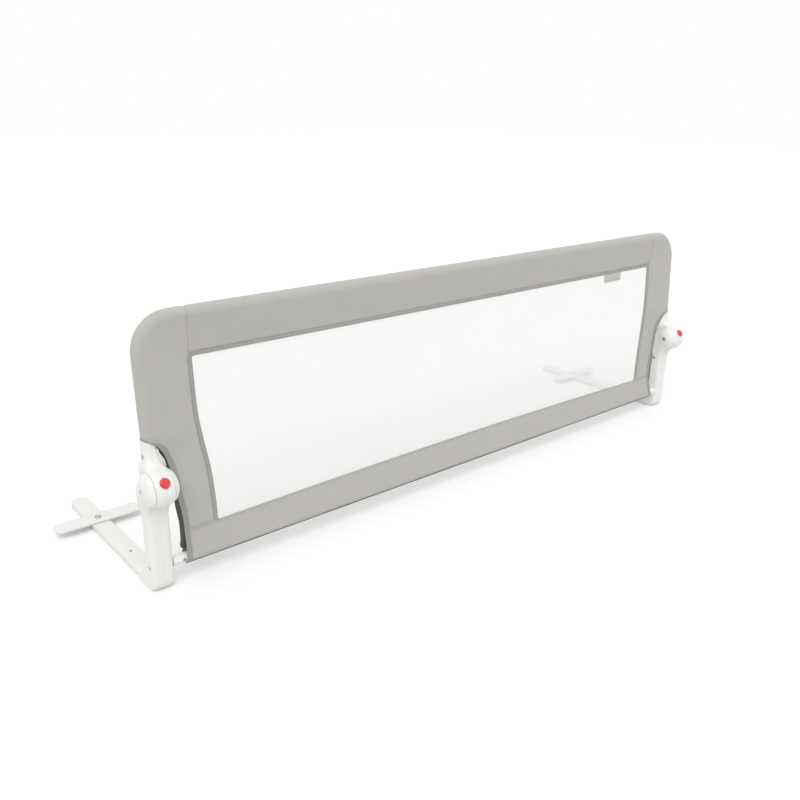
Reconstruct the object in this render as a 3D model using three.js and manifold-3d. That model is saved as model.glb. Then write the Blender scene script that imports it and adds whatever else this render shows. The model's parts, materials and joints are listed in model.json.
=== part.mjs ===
// Folding bed guard rail. Millimetres, +Z up, +X along the rail, +Y towards the mattress.
// Two legs stand at the bed's edge, each with an arm that lies under the mattress. A tube frame
// in a fabric cover turns on a pivot at the top of each leg, so the guard folds out and down.
// Each end is drawn once, as the right-hand end, and mirrored for the left-hand one.
import * as THREE from "three";
import { mergeVertices } from "three/addons/utils/BufferGeometryUtils.js";
import Module from "manifold-3d";

const wasm = await Module();
wasm.setup();

// Clearances
const seatGap = 0.3;
const runningGap = 0.4;
const overrun = 1;
const weld = 1e-4;

// Whole rail: leg centre to leg centre, and the heights that the frame is set out from
const legSpacing = 1502;
const pivotHeight = 205;
const pivotForward = 20;
const topTubeHeight = 479;
const foldPlaneY = 7.2;
const upperLean = THREE.MathUtils.degToRad(3.6);

// Hub: the barrel at the pivot, shared by the leg's two cheeks and the knuckle between them
const hubWidth = 63;
const hubRadius = 33;
const hubFullnessShare = 2.6;
const knuckleWidth = 34;
const crotchRadius = 39.5;
const stopDrop = 15;

// Leg housing, moulded in two shells
const legWidth = 41;
const legFront = -10;
const legBack = 22;
const legCorner = 9;
const legWall = 3;
const footRound = 18;
const flareDrop = 67;
const flareEndDrop = 13;
const flareFront = -42;
const flareHalfWidth = 29;
const flareCorner = 18;
const flareCurveShare = 2.2;
const shoulderRise = 21;
const shoulderBack = 8;
const shoulderFront = -30;
const shoulderHalfWidth = 24;
const cavityFloor = 24;
const cavityRise = 12;
const bossRadius = 6;
const toeLength = 58;
const toeHeight = 18;
const gussetHeight = 48;
const gussetRound = 14;

// Neck: the knuckle's socket for the frame's tube
const neckFront = -4;
const neckBack = 25.5;
const neckCorner = 12;
const neckOuterReach = 11;
const neckInnerReach = 14;
const neckWingReach = 28;
const neckWingRise = 34.4;
const neckWingFront = 3;
const neckWingBack = 23.9;
const neckFillet = 24;

// The knuckle where it turns from the hub into the neck: height above the pivot as a share of the
// hub's radius, depth as a share of the way from the pivot to the neck's front, and how far its sides
// have drawn in from the knuckle's width to the neck's own reach
const neckShapeShares = [
  [0.75, -0.74, 0],
  [0.95, -0.31, 0.1],
  [1.05, 0.16, 0.35],
  [1.15, 0.5, 0.6],
  [1.27, 0.74, 0.78],
  [1.45, 0.9, 0.92],
];

// Cover's cut-out round the hub. Its edge is set out in from the leg's centre, as shares of the
// cut-out's reach, and in height, as shares of the pivot's height and then of its rise above that
const cutoutRoom = 9.5;
const cutoutRise = 79;
const cutoutLowShares = [
  [1.146, 0.132],
  [1.122, 0.302],
  [1.195, 0.41],
  [1.2, 0.556],
  [1.129, 0.683],
  [1.032, 0.805],
  [0.939, 0.966],
];
const cutoutHighShares = [
  [0.707, 0.443],
  [0.31, 0.797],
  [-0.22, 1],
];
const neckGap = 5;
const closureStripWidth = 4;
const closureStripThickness = 2.4;
const closureStripRise = 18;

// Frame tubes
const tubeRadius = 11;
const tubeWall = 1.2;
const tubeInset = 4;
const cornerRadius = 57;
const socketRise = 21;
const topJointInset = 371;
const jointDepth = 45;
const lowTubeRadius = 9.5;
const lowTubeHeight = 46;
const lowTubeY = 2;
const lowTubeInset = 47;
const lowJointLength = 120;
const plugSpigotDepth = 20;

// Cover
const coverWall = 1.6;
const hemThickness = 5;
const seamInset = 89;
const lowSeamRise = 50.5;
const foldGap = 2;
const lowBandThickness = 8;
const topBandDepth = 73;
const windowFootRise = 0.5;
const windowBow = 7;
const windowCorner = 5;
const bindingWidth = 10;
const bindingThickness = 4.6;
const meshThickness = 1.2;
const labelWidth = 66;
const labelHeight = 20;
const labelThickness = 1.2;
const labelInset = 244;

// The window's side, set out in from the leg's centre, as shares of the window's inset at its foot,
// and in height, as shares of the way from its foot to the pivot and then from there to its top
const windowInset = 115.5;
const windowLowShares = [
  [1, 0],
  [0.996, 0.343],
  [0.952, 0.954],
];
const windowHighShares = [
  [0.87, 0.294],
  [0.827, 0.56],
  [0.823, 1],
];

// Arm under the mattress, with its swivelling cross bar
const armWidth = 36;
const armHeight = 12;
const armWall = 2;
const armReach = 412;
const armHoleY = 137;
const armHoleRadius = 3;
const padLength = 50;
const rivetY = 294;
const rivetRadius = 4;
const rivetHeadRadius = 6.2;
const rivetHeadHeight = 2.4;
const crossBarLength = 172;
const crossBarWidth = 38;
const crossBarThickness = 4.5;
const crossBarCorner = 13;
const crossBarBevel = 1;

// Release button, its spring and the lock bar, set out along the button's own axis from the pivot
const buttonElevation = THREE.MathUtils.degToRad(34);
const buttonTop = 37;
const buttonRadius = 8.7;
const buttonDome = 1.6;
const buttonTravel = 4;
const collarRadius = 10;
const collarThickness = 2.4;
const collarTop = 26.6;
const stemRadius = 6.6;
const stemFoot = 16.6;
const lockBarFoot = 18.4;
const lockBarDepth = 4.6;
const lockBarWidth = 8;
const lockBarReach = 3.2;
const grooveDepth = 3.8;
const springFloor = 9;
const springRadius = 5.4;
const springWire = 1.2;
const domeShare = 0.85;

// Fasteners
const screwRadius = 2;
const screwHeadRadius = 4;
const screwHeadHeight = 2.6;
const screwHeadDepth = 1;
const threadDepth = 11;
const neckScrewY = 8;
const neckScrewRise = 48;
const neckScrewHead = 11.2;
const neckScrewLength = 27.6;
const legScrewBack = 9;
const legScrewDrop = 62;
const pivotBoltRadius = 3;
const pivotHeadRadius = 4.6;
const pivotHeadHeight = 4;
const pivotHeadSink = 2.5;
const nutWidth = 9;
const nutHeight = 4.5;
const nutSides = 6;
const armScrewSide = 9;
const armScrewY = 35;
const plugScrewInset = 20;
const plugScrewLength = 9;

// Facets
const barrelSteps = 6;
const roundSides = 12;
const tubeSides = 12;
const cornerSteps = 5;
const routeSteps = 6;
const windowSteps = 4;
const cutoutSteps = 20;

// Derived places
const endX = legSpacing / 2;
const pivotY = -pivotForward;
const slotHalf = knuckleWidth / 2 + runningGap;
const flareStart = pivotHeight - flareDrop;
const flareEnd = pivotHeight - flareEndDrop;
const upperTubeZ = (topTubeHeight - pivotHeight) / Math.cos(upperLean);
const lowerLean = Math.atan2(foldPlaneY - lowTubeY, pivotHeight - lowTubeHeight);
const lowTubeZ = -Math.hypot(foldPlaneY - lowTubeY, pivotHeight - lowTubeHeight);
const topJointX = endX - topJointInset;
const lowTubeEnd = endX - lowTubeInset;
const seamX = endX - seamInset;
const lowSeamHeight = lowTubeHeight + lowSeamRise;
const windowBottom = lowSeamHeight + windowFootRise;
const windowTop = topTubeHeight - topBandDepth;
const cutoutReach = hubWidth / 2 + cutoutRoom;
const sleeveRadius = tubeRadius + runningGap + coverWall;
const hemRadius = lowTubeRadius + runningGap + coverWall;
const buttonTurn = Math.PI - buttonElevation;
const pivotHeadX = hubWidth / 2 - pivotHeadSink;
const legScrewLength = legWidth / 2 + threadDepth;
const neckScrewPlace = [neckScrewY, pivotHeight + neckScrewRise];
const legScrewPlace = [legScrewBack, pivotHeight - legScrewDrop];
const armScrewPlace = [armScrewSide, armScrewY];
const lowTubeScrewLength = legWidth + threadDepth;

// Finishes
function finish(color, roughness, metalness = 0) {
  return new THREE.MeshStandardMaterial({ color, roughness, metalness });
}
const whitePlastic = () => finish(0xe8e9e4, 0.45);
const whiteMetal = () => finish(0xe4e5e2, 0.4, 0.2);
const steel = () => finish(0xa8aaad, 0.35, 0.9);
const redPlastic = () => finish(0xe03035, 0.35);
const greyFabric = () => finish(0xb3b0ac, 0.95);
const bindingTape = () => finish(0x9a9895, 0.9);
const darkTape = () => finish(0x505550, 0.95);
const whiteMesh = () => finish(0xf4f4f2, 0.9);
const greyLabel = () => finish(0xa6a5a1, 0.85);
const greyRubber = () => finish(0x8a8c8c, 0.9);

// A closed geometry as a solid that can be joined and cut
function solidOf(geometry) {
  const bare = geometry.index ? geometry.toNonIndexed() : geometry.clone();
  bare.deleteAttribute("normal");
  bare.deleteAttribute("uv");
  const merged = mergeVertices(bare, weld);
  return new wasm.Manifold(
    new wasm.Mesh({
      numProp: 3,
      vertProperties: merged.attributes.position.array,
      triVerts: new Uint32Array(merged.index.array),
    }),
  );
}

// A solid back as a geometry with flat-shaded faces
function geometryOf(solid) {
  const mesh = solid.getMesh();
  const geometry = new THREE.BufferGeometry();
  geometry.setAttribute("position", new THREE.BufferAttribute(mesh.vertProperties, mesh.numProp));
  geometry.setIndex(new THREE.BufferAttribute(mesh.triVerts, 1));
  const flat = geometry.toNonIndexed();
  flat.computeVertexNormals();
  return flat;
}

function joined(...geometries) {
  return geometries.map(solidOf).reduce((whole, piece) => whole.add(piece));
}

function cutBy(solid, ...geometries) {
  return geometries.reduce((rest, cutter) => rest.subtract(solidOf(cutter)), solid);
}

// A named mesh, drawn from a geometry or from a solid
function piece(name, shape, material) {
  const mesh = new THREE.Mesh(shape.isBufferGeometry ? shape : geometryOf(shape), material);
  mesh.name = name;
  return mesh;
}

// A box between two corners
function block(x0, x1, y0, y1, z0, z1) {
  return new THREE.BoxGeometry(x1 - x0, y1 - y0, z1 - z0).translate(
    (x0 + x1) / 2,
    (y0 + y1) / 2,
    (z0 + z1) / 2,
  );
}

// A turned solid about +Y from [radius, height] pairs, whichever way round they are listed
function turned(profile, sides = roundSides) {
  const points = profile.map(([radius, height]) => new THREE.Vector2(radius, height));
  const closed = points[0].x > 0;
  if (closed) points.push(points[0].clone());
  if (THREE.ShapeUtils.area(points) < 0) points.reverse();
  return new THREE.LatheGeometry(points, sides);
}

const alongX = (geometry) => geometry.rotateZ(-Math.PI / 2);
const alongZ = (geometry) => geometry.rotateX(Math.PI / 2);

// A plain rod on the X axis, from x0 to x1
function rodX(radius, x0, x1, y = 0, z = 0, sides = roundSides) {
  const profile = [[0, x0], [radius, x0], [radius, x1], [0, x1]];
  return alongX(turned(profile, sides)).translate(0, y, z);
}

// A plain upright rod, from z0 to z1
function rodZ(radius, z0, z1, x = 0, y = 0) {
  return alongZ(turned([[0, z0], [radius, z0], [radius, z1], [0, z1]])).translate(x, y, 0);
}

// An outline of [y, z] points, extruded along X from x0 to x1
function sideProfile(shape, x0, x1) {
  const turn = new THREE.Matrix4().makeBasis(
    new THREE.Vector3(0, 1, 0),
    new THREE.Vector3(0, 0, 1),
    new THREE.Vector3(1, 0, 0),
  );
  const options = { depth: x1 - x0, bevelEnabled: false, curveSegments: cornerSteps };
  return new THREE.ExtrudeGeometry(shape, options)
    .applyMatrix4(turn)
    .translate(x0, 0, 0);
}

// An outline of [x, z] points, extruded along Y through a thickness about y = 0
function frontProfile(shape, thickness, steps = cornerSteps) {
  return new THREE.ExtrudeGeometry(shape, { depth: thickness, bevelEnabled: false, curveSegments: steps })
    .rotateX(Math.PI / 2)
    .translate(0, thickness / 2, 0);
}

function outline(points) {
  return new THREE.Shape(points.map(([x, y]) => new THREE.Vector2(x, y)));
}

// A bend or straight run of tube: the stations are taken as listed, not at even lengths
class TubeRoute extends THREE.Curve {
  constructor(stations) {
    super();
    this.stations = stations;
  }
  getPoint(t) {
    const at = t * (this.stations.length - 1);
    const before = Math.min(Math.floor(at), this.stations.length - 2);
    return this.stations[before].clone().lerp(this.stations[before + 1], at - before);
  }
  getUtoTmapping(u) {
    return u;
  }
}

// A round bar or a pipe along a route of stations
function swept(stations, radius, bore = 0) {
  const shape = new THREE.Shape().absarc(0, 0, radius, 0, 2 * Math.PI, false);
  if (bore) shape.holes.push(new THREE.Path().absarc(0, 0, bore, 0, 2 * Math.PI, true));
  return new THREE.ExtrudeGeometry(shape, {
    steps: stations.length - 1,
    curveSegments: tubeSides / 2,
    extrudePath: new TubeRoute(stations),
  });
}

// A column of rounded-rectangle sections: each station has its height, four sides and corner radius
function column(stations) {
  const perCorner = cornerSteps;
  const sides = 4 * perCorner;
  const geometry = new THREE.CylinderGeometry(1, 1, 1, sides, stations.length - 1);
  alongZ(geometry);
  const place = geometry.attributes.position;
  for (let i = 0; i < place.count; i += 1) {
    const row = Math.round((place.getZ(i) + 0.5) * (stations.length - 1));
    const { z, left, right, front, back, corner } = stations[row];
    const radius = Math.min(corner, (right - left) / 2, (back - front) / 2);
    if (Math.hypot(place.getX(i), place.getY(i)) < 0.5) {
      place.setXYZ(i, (left + right) / 2, (front + back) / 2, z);
      continue;
    }
    const turn = Math.atan2(place.getY(i), place.getX(i)) / (2 * Math.PI);
    const step = (Math.round(turn * sides) + sides) % sides;
    const quarter = Math.floor(step / perCorner);
    const angle = (quarter + (step % perCorner) / (perCorner - 1)) * (Math.PI / 2);
    const centreX = quarter === 0 || quarter === 3 ? right - radius : left + radius;
    const centreY = quarter < 2 ? back - radius : front + radius;
    place.setXYZ(i, centreX + radius * Math.cos(angle), centreY + radius * Math.sin(angle), z);
  }
  return geometry;
}

const evenShares = (count) => Array.from({ length: count + 1 }, (_, i) => i / count);
const smooth = (share) => share * share * (3 - 2 * share);
const between = (from, to, share) => from + (to - from) * share;

// The barrel at the pivot, on its own axis at the origin
function barrel() {
  const profile = [];
  for (let i = 0; i <= 2 * barrelSteps; i += 1) {
    const angle = (Math.PI * i) / (2 * barrelSteps);
    const bulge = (value) => Math.sign(value) * Math.abs(value) ** (2 / hubFullnessShare);
    profile.push([hubRadius * bulge(Math.sin(angle)), (-hubWidth / 2) * bulge(Math.cos(angle))]);
  }
  profile[0][0] = 0;
  profile[profile.length - 1][0] = 0;
  return alongX(turned(profile, tubeSides + tubeSides / 2)).translate(0, pivotY, pivotHeight);
}

// The leg's column, flared out at the top to carry the hub
function legColumn() {
  const half = legWidth / 2;
  const stations = evenShares(3).map((share) => {
    const angle = (share * Math.PI) / 2;
    const inset = footRound * (1 - Math.sin(angle));
    const z = footRound * (1 - Math.cos(angle));
    return { z, left: -half, right: half, front: legFront + inset, back: legBack, corner: legCorner };
  });
  for (const share of evenShares(5)) {
    const reach = between(half, flareHalfWidth, smooth(share));
    stations.push({
      z: between(flareStart, flareEnd, share),
      left: -reach,
      right: reach,
      front: between(legFront, flareFront, share ** flareCurveShare),
      back: legBack,
      corner: between(legCorner, flareCorner, share),
    });
  }
  for (const share of evenShares(3).slice(1)) {
    const reach = between(flareHalfWidth, shoulderHalfWidth, share * share);
    stations.push({
      z: between(flareEnd, pivotHeight + shoulderRise, share),
      left: -reach,
      right: reach,
      front: between(flareFront, shoulderFront, share),
      back: between(legBack, shoulderBack, share * share),
      corner: flareCorner,
    });
  }
  return column(stations);
}

// The toe that carries the arm, with its gusset up the back of the leg
function toe() {
  const shape = new THREE.Shape();
  const root = legBack - legWall;
  shape.moveTo(root, 0);
  shape.lineTo(toeLength, 0);
  shape.lineTo(toeLength, toeHeight);
  shape.quadraticCurveTo(legBack + gussetRound, toeHeight, legBack, gussetHeight);
  shape.lineTo(root, gussetHeight);
  shape.closePath();
  return sideProfile(shape, -legWidth / 2, legWidth / 2);
}

// The way between the cheeks, cleared for the knuckle, the button and the folded neck
function forkSlot() {
  const far = hubRadius * 3;
  const disc = rodX(crotchRadius, -slotHalf, slotHalf, pivotY, pivotHeight, tubeSides * 2);
  const front = block(-slotHalf, slotHalf, -far, legFront, pivotHeight - far, pivotHeight);
  const top = block(-slotHalf, slotHalf, -far, far, pivotHeight - stopDrop, pivotHeight + far);
  return [disc, front, top];
}

// The grooves that the lock bar's ends travel in, one in each cheek
function lockGrooves() {
  const inner = lockBarFoot - buttonTravel - runningGap;
  const outer = Math.hypot(lockBarFoot + lockBarDepth, lockBarWidth / 2) + runningGap;
  return [-1, 1].map((side) => {
    const near = side * (slotHalf - overrun);
    const deep = side * (slotHalf + grooveDepth);
    const ring = [[inner, near], [outer, near], [outer, deep], [inner, deep]];
    return alongX(turned(ring, tubeSides * 2)).translate(0, pivotY, pivotHeight);
  });
}

// A screw along X: its head's outer face is at headX, and it points the other way by length
function screw(headX, length, towards, headRadius = screwHeadRadius, shankRadius = screwRadius) {
  const neck = headX + towards * screwHeadHeight;
  const tip = headX + towards * length;
  const head = [[0, headX], [headRadius, headX], [headRadius, neck]];
  const shank = [[shankRadius, neck], [shankRadius, tip], [0, tip]];
  return alongX(turned([...head, ...shank]));
}

// The hole for that screw, opened past the surface on the head's side
function screwHole(headX, length, towards, headRadius = screwHeadRadius, shankRadius = screwRadius) {
  const mouth = headX - towards * hubWidth;
  const seat = headX + towards * (screwHeadHeight + seatGap);
  const tip = headX + towards * (length + overrun);
  const wide = headRadius + seatGap;
  const narrow = shankRadius + seatGap;
  const head = [[0, mouth], [wide, mouth], [wide, seat]];
  const shank = [[narrow, seat], [narrow, tip], [0, tip]];
  return alongX(turned([...head, ...shank]));
}

// The tube's centre line in the upper cover's plane, seen from the leg's centre
function sideTubeRoute(fromZ, toX) {
  const x = -tubeInset;
  const stations = [new THREE.Vector3(x, 0, fromZ)];
  for (let i = 0; i <= routeSteps; i += 1) {
    const angle = (Math.PI / 2) * (i / routeSteps);
    stations.push(
      new THREE.Vector3(
        x - cornerRadius + cornerRadius * Math.cos(angle),
        0,
        upperTubeZ - cornerRadius + cornerRadius * Math.sin(angle),
      ),
    );
  }
  stations.push(new THREE.Vector3(toX, 0, upperTubeZ));
  return stations;
}

// From the upper cover's plane to the end's upright frame
const upperPlane = new THREE.Matrix4()
  .makeTranslation(0, foldPlaneY, pivotHeight)
  .multiply(new THREE.Matrix4().makeRotationX(-upperLean));

// The cut-out's edge in a cover's plane: places out from the leg's centre and up from the pivot
const cutoutEdge = [
  ...cutoutLowShares.map(([inward, rise]) => [-cutoutReach * inward, pivotHeight * (rise - 1)]),
  ...cutoutHighShares.map(([inward, rise]) => [-cutoutReach * inward, cutoutRise * rise]),
];

// That edge as a smooth line, moved out from the cover by a gap
function cutoutLine(gap) {
  const curve = new THREE.SplineCurve(cutoutEdge.map(([x, z]) => new THREE.Vector2(x, z)));
  return curve.getPoints(cutoutSteps).map((point, i) => {
    const tangent = curve.getTangent(i / cutoutSteps);
    return [point.x + gap * tangent.y, point.y - gap * tangent.x];
  });
}

// The space outside the cut-out's edge, as a cutter in a cover's plane
function cutoutSpace(gap) {
  const line = cutoutLine(gap);
  const topZ = line[line.length - 1][1];
  const [footX] = line[0];
  const far = legSpacing / 4;
  return frontProfile(outline([...line, [far, topZ], [far, -far], [footX, -far]]), far, 1);
}

// Leg shells with the screw bosses left standing in the cavity
function legShells(end) {
  const half = legWidth / 2;
  const [screwY, screwZ] = legScrewPlace;
  const room = half - legWall;
  const cavityTop = flareStart + cavityRise;
  const cavity = cutBy(
    solidOf(block(-room, room, legFront + legWall, legBack - legWall, cavityFloor, cavityTop)),
    rodX(bossRadius, -half, half, screwY, screwZ),
    rodX(bossRadius, -half, half, lowTubeY, lowTubeHeight),
  );
  let leg = joined(legColumn(), barrel(), toe());
  leg = cutBy(leg, ...forkSlot(), ...lockGrooves());
  leg = leg.subtract(cavity);
  const nutRoom = nutWidth / Math.sqrt(3) + seatGap;
  const armHalf = armWidth / 2 + seatGap;
  const socketFront = legFront + footRound + legWall;
  leg = cutBy(
    leg,
    block(-armHalf, armHalf, socketFront, toeLength + overrun, -overrun, armHeight + seatGap),
    rodZ(screwRadius + seatGap, armHeight, toeHeight - overrun, ...armScrewPlace),
    screwHole(half - screwHeadDepth, lowTubeScrewLength, -1).translate(0, lowTubeY, lowTubeHeight),
    screwHole(-half + screwHeadDepth, legScrewLength, 1).translate(0, screwY, screwZ),
    rodX(pivotBoltRadius + runningGap, -hubWidth, hubWidth, pivotY, pivotHeight),
    rodX(pivotHeadRadius + seatGap, pivotHeadX - pivotHeadHeight - seatGap, hubWidth, pivotY, pivotHeight),
    rodX(nutRoom, -hubWidth, -pivotHeadX + nutHeight + seatGap, pivotY, pivotHeight),
  );
  const far = legSpacing;
  const outer = leg.intersect(solidOf(block(seatGap / 2, far, -far, far, -far, far)));
  const inner = leg.intersect(solidOf(block(-far, -seatGap / 2, -far, far, -far, far)));
  return [
    piece(`${end}_leg_outer_shell`, outer, whitePlastic()),
    piece(`${end}_leg_inner_shell`, inner, whitePlastic()),
  ];
}

// The neck and the knuckle's disc in one, before the bores. A wing fills the cut-out beside the neck
function knuckleBody() {
  const half = knuckleWidth / 2;
  const heel = pivotHeight - stopDrop + seatGap;
  const top = pivotHeight + cutoutRise;
  const shape = neckShapeShares.map(([rise, depth, drawn]) => [
    pivotHeight + hubRadius * rise,
    between(pivotY, neckFront, depth),
    drawn,
  ]);
  const bend = [
    [heel, legFront, 0],
    [pivotHeight, pivotY, 0],
    ...shape,
    [pivotHeight + hubRadius + neckFillet, neckFront, 1],
    [top, neckFront, 1],
  ];
  const neck = column(
    bend.map(([z, front, drawn]) => ({
      z,
      left: -between(half, neckInnerReach, drawn),
      right: between(half, neckOuterReach, drawn),
      front,
      back: neckBack,
      corner: neckCorner,
    })),
  );
  const wingFoot = pivotHeight + neckWingRise;
  const wing = block(-neckWingReach, 0, neckWingFront, neckWingBack, wingFoot, top);
  const slab = block(-half, half, -legSpacing, legSpacing, 0, legSpacing);
  const disc = solidOf(barrel()).intersect(solidOf(slab));
  const outside = solidOf(cutoutSpace(neckGap).translate(0, 0, pivotHeight));
  return joined(neck, wing).add(disc).intersect(outside);
}

// A bore along the button's axis, for a part of this radius
function bore(radius, from, to) {
  const wall = radius + seatGap;
  return turned([[0, from], [wall, from], [wall, to], [0, to]]);
}

// Knuckle shells: bored for the tube, the pivot, the button and the lock bar
function knuckleShells(end) {
  const [screwY, screwZ] = neckScrewPlace;
  const socket = rodZ(tubeRadius + seatGap, socketRise, pivotHeight, -tubeInset, 0)
    .applyMatrix4(upperPlane);
  const barHalf = lockBarWidth / 2 + seatGap;
  const barFoot = lockBarFoot - buttonTravel - seatGap;
  const barTop = lockBarFoot + lockBarDepth + seatGap;
  const along = [
    bore(buttonRadius, collarTop, 2 * hubRadius),
    bore(collarRadius, stemFoot - buttonTravel - seatGap, collarTop + seatGap),
    bore(springRadius, springFloor, stemFoot),
    block(-hubWidth, hubWidth, barFoot, barTop, -barHalf, barHalf),
  ].map((shape) => shape.rotateX(buttonTurn).translate(0, pivotY, pivotHeight));
  const body = cutBy(
    knuckleBody(),
    socket,
    ...along,
    rodX(pivotBoltRadius + runningGap, -hubWidth, hubWidth, pivotY, pivotHeight),
    screwHole(neckScrewHead, neckScrewLength, -1).translate(0, screwY, screwZ),
  );
  const far = legSpacing;
  const outer = body.intersect(solidOf(block(seatGap / 2, far, -far, far, -far, far)));
  const inner = body.intersect(solidOf(block(-far, -seatGap / 2, -far, far, -far, far)));
  return [
    piece(`${end}_knuckle_outer_shell`, outer, whitePlastic()),
    piece(`${end}_knuckle_inner_shell`, inner, whitePlastic()),
  ];
}

// The window's side in a cover's plane: places out from the rail's middle and up from the pivot
const windowFoot = windowBottom - pivotHeight;
const windowHead = windowTop - pivotHeight;
const windowSide = [
  ...windowLowShares.map(([inward, rise]) => [endX - windowInset * inward, windowFoot * (1 - rise)]),
  ...windowHighShares.map(([inward, rise]) => [endX - windowInset * inward, windowHead * rise]),
];

// The window's outline, grown by a margin, with the rail's middle at x = 0
function windowShape(grow) {
  const side = windowSide.map(([x, z]) => [x + grow, z]);
  const corner = Math.max(windowCorner + grow, grow + weld);
  const top = windowHead + grow;
  const bottom = windowFoot - grow;
  const topX = side[side.length - 1][0];
  const bottomX = side[0][0];
  side[0] = [bottomX, bottom + corner];
  side[side.length - 1] = [topX, top - corner];
  const shape = new THREE.Shape();
  shape.moveTo(corner - bottomX, bottom);
  shape.quadraticCurveTo(0, bottom + 2 * windowBow, bottomX - corner, bottom);
  shape.quadraticCurveTo(bottomX, bottom, ...side[0]);
  shape.splineThru(side.slice(1).map(([x, z]) => new THREE.Vector2(x, z)));
  shape.quadraticCurveTo(topX, top, topX - corner, top);
  shape.lineTo(corner - topX, top);
  shape.quadraticCurveTo(-topX, top, -topX, top - corner);
  shape.splineThru(side.slice(0, -1).reverse().map(([x, z]) => new THREE.Vector2(-x, z)));
  shape.quadraticCurveTo(-bottomX, bottom, corner - bottomX, bottom);
  return shape;
}

const windowSolid = (grow, thickness) => solidOf(frontProfile(windowShape(grow), thickness, windowSteps));

// The part of a solid above or below the fold
function aboveFold(solid) {
  const far = legSpacing;
  return solid.intersect(solidOf(block(-far, far, -far, far, foldGap / 2, far)));
}

function belowFold(solid) {
  const far = legSpacing;
  return solid.intersect(solidOf(block(-far, far, -far, far, -far, -foldGap / 2)));
}

// One skin of the upper side cover, seen from the leg's centre: inset 0 is its outside
function upperSideSkin(inset) {
  const radius = sleeveRadius - inset;
  const edge = -windowInset;
  const x = -tubeInset;
  const thin = hemThickness / 2 - inset;
  const z = upperTubeZ - cornerRadius;
  const front = new THREE.Shape();
  front.moveTo(edge, -pivotHeight);
  front.lineTo(x, -pivotHeight);
  front.lineTo(x, z);
  front.absarc(x - cornerRadius, z, cornerRadius, 0, Math.PI / 2, false);
  front.lineTo(edge, upperTubeZ);
  front.closePath();
  const plate = solidOf(frontProfile(front, 2 * radius));
  const sideWedge = new THREE.ExtrudeGeometry(
    outline([[edge, -thin], [x, -radius], [x, radius], [edge, thin]]),
    { depth: legSpacing, bevelEnabled: false },
  ).translate(0, 0, -legSpacing / 2);
  const hemZ = windowHead + bindingWidth;
  const topWedge = sideProfile(
    outline([[-thin, hemZ], [thin, hemZ], [radius, upperTubeZ], [-radius, upperTubeZ]]),
    -legSpacing,
    legSpacing,
  );
  const roll = swept(sideTubeRoute(0, edge), radius);
  const skin = plate.intersect(joined(sideWedge, topWedge)).add(solidOf(roll));
  const opening = windowSolid(bindingWidth + seatGap + inset, legSpacing).translate([-endX, 0, 0]);
  return skin.subtract(opening);
}

function upperSideBand(end) {
  const seam = seamX - endX + seatGap / 2;
  let band = upperSideSkin(0).subtract(upperSideSkin(coverWall));
  band = cutBy(
    band,
    cutoutSpace(0),
    block(-legSpacing, seam, -legSpacing, legSpacing, windowHead, legSpacing),
  );
  return piece(`${end}_side_band_upper`, aboveFold(band), greyFabric());
}

function lowerSideBand(end) {
  const edge = -windowInset;
  const seam = lowSeamHeight - pivotHeight + seatGap / 2;
  const plate = solidOf(block(edge, 0, -lowBandThickness / 2, lowBandThickness / 2, seam, 0));
  const opening = windowSolid(bindingWidth + seatGap, legSpacing).translate([-endX, 0, 0]);
  const band = cutBy(plate.subtract(opening), cutoutSpace(0));
  return piece(`${end}_side_band_lower`, belowFold(band), greyFabric());
}

// The hook-and-loop strip that closes the cover along the cut-out
function closureStrip() {
  const near = cutoutLine(seatGap);
  const far = cutoutLine(seatGap + closureStripWidth).reverse();
  const strip = solidOf(frontProfile(outline([...near, ...far]), closureStripThickness, 1));
  const side = legSpacing / 2;
  const stop = -tubeInset - tubeRadius - overrun;
  const foot = lowTubeHeight + closureStripRise - pivotHeight;
  return strip.intersect(solidOf(block(-side, stop, -side, side, foot, side)));
}

// The top band: a teardrop sleeve round the tube, closed at the window's binding
function topBand() {
  const hemZ = windowHead + bindingWidth + seatGap;
  const teardrop = (inset) => {
    const radius = sleeveRadius - inset;
    const thin = hemThickness / 2 - inset;
    const shape = new THREE.Shape();
    shape.moveTo(-thin, hemZ + inset);
    shape.lineTo(thin, hemZ + inset);
    shape.lineTo(radius, upperTubeZ);
    shape.absarc(0, upperTubeZ, radius, 0, Math.PI, false);
    shape.closePath();
    return sideProfile(shape, -seamX + seatGap / 2 - inset, seamX - seatGap / 2 + inset);
  };
  return piece("top_band", cutBy(solidOf(teardrop(0)), teardrop(coverWall)), greyFabric());
}

// The bottom band: a hem round the lower tube. Its ends lean out to the cut-outs' widest place
function bottomBand() {
  const [[hemInward]] = cutoutEdge;
  const hemX = endX + hemInward;
  const seamEndX = endX + Math.min(...cutoutLine(0).map(([x]) => x));
  const skin = (inset) => {
    const radius = hemRadius - inset;
    const thin = hemThickness / 2 - inset;
    const seam = lowSeamHeight - pivotHeight - seatGap / 2 - inset;
    const topX = seamEndX + inset;
    const lowX = hemX + inset;
    const front = outline([[-lowX, lowTubeZ], [lowX, lowTubeZ], [topX, seam], [-topX, seam]]);
    const wedge = sideProfile(
      outline([[-radius, lowTubeZ], [radius, lowTubeZ], [thin, seam], [-thin, seam]]),
      -legSpacing,
      legSpacing,
    );
    const hem = rodX(radius, -lowX, lowX, 0, lowTubeZ);
    const plate = solidOf(frontProfile(front, 2 * radius)).intersect(solidOf(wedge));
    return plate.add(solidOf(hem)).subtract(windowSolid(bindingWidth + seatGap + inset, legSpacing));
  };
  return piece("bottom_band", skin(0).subtract(skin(coverWall)), greyFabric());
}

// A hollow pipe along X from a closed profile of [radius, x] pairs
const pipeX = (profile) => alongX(turned(profile, tubeSides));

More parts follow.
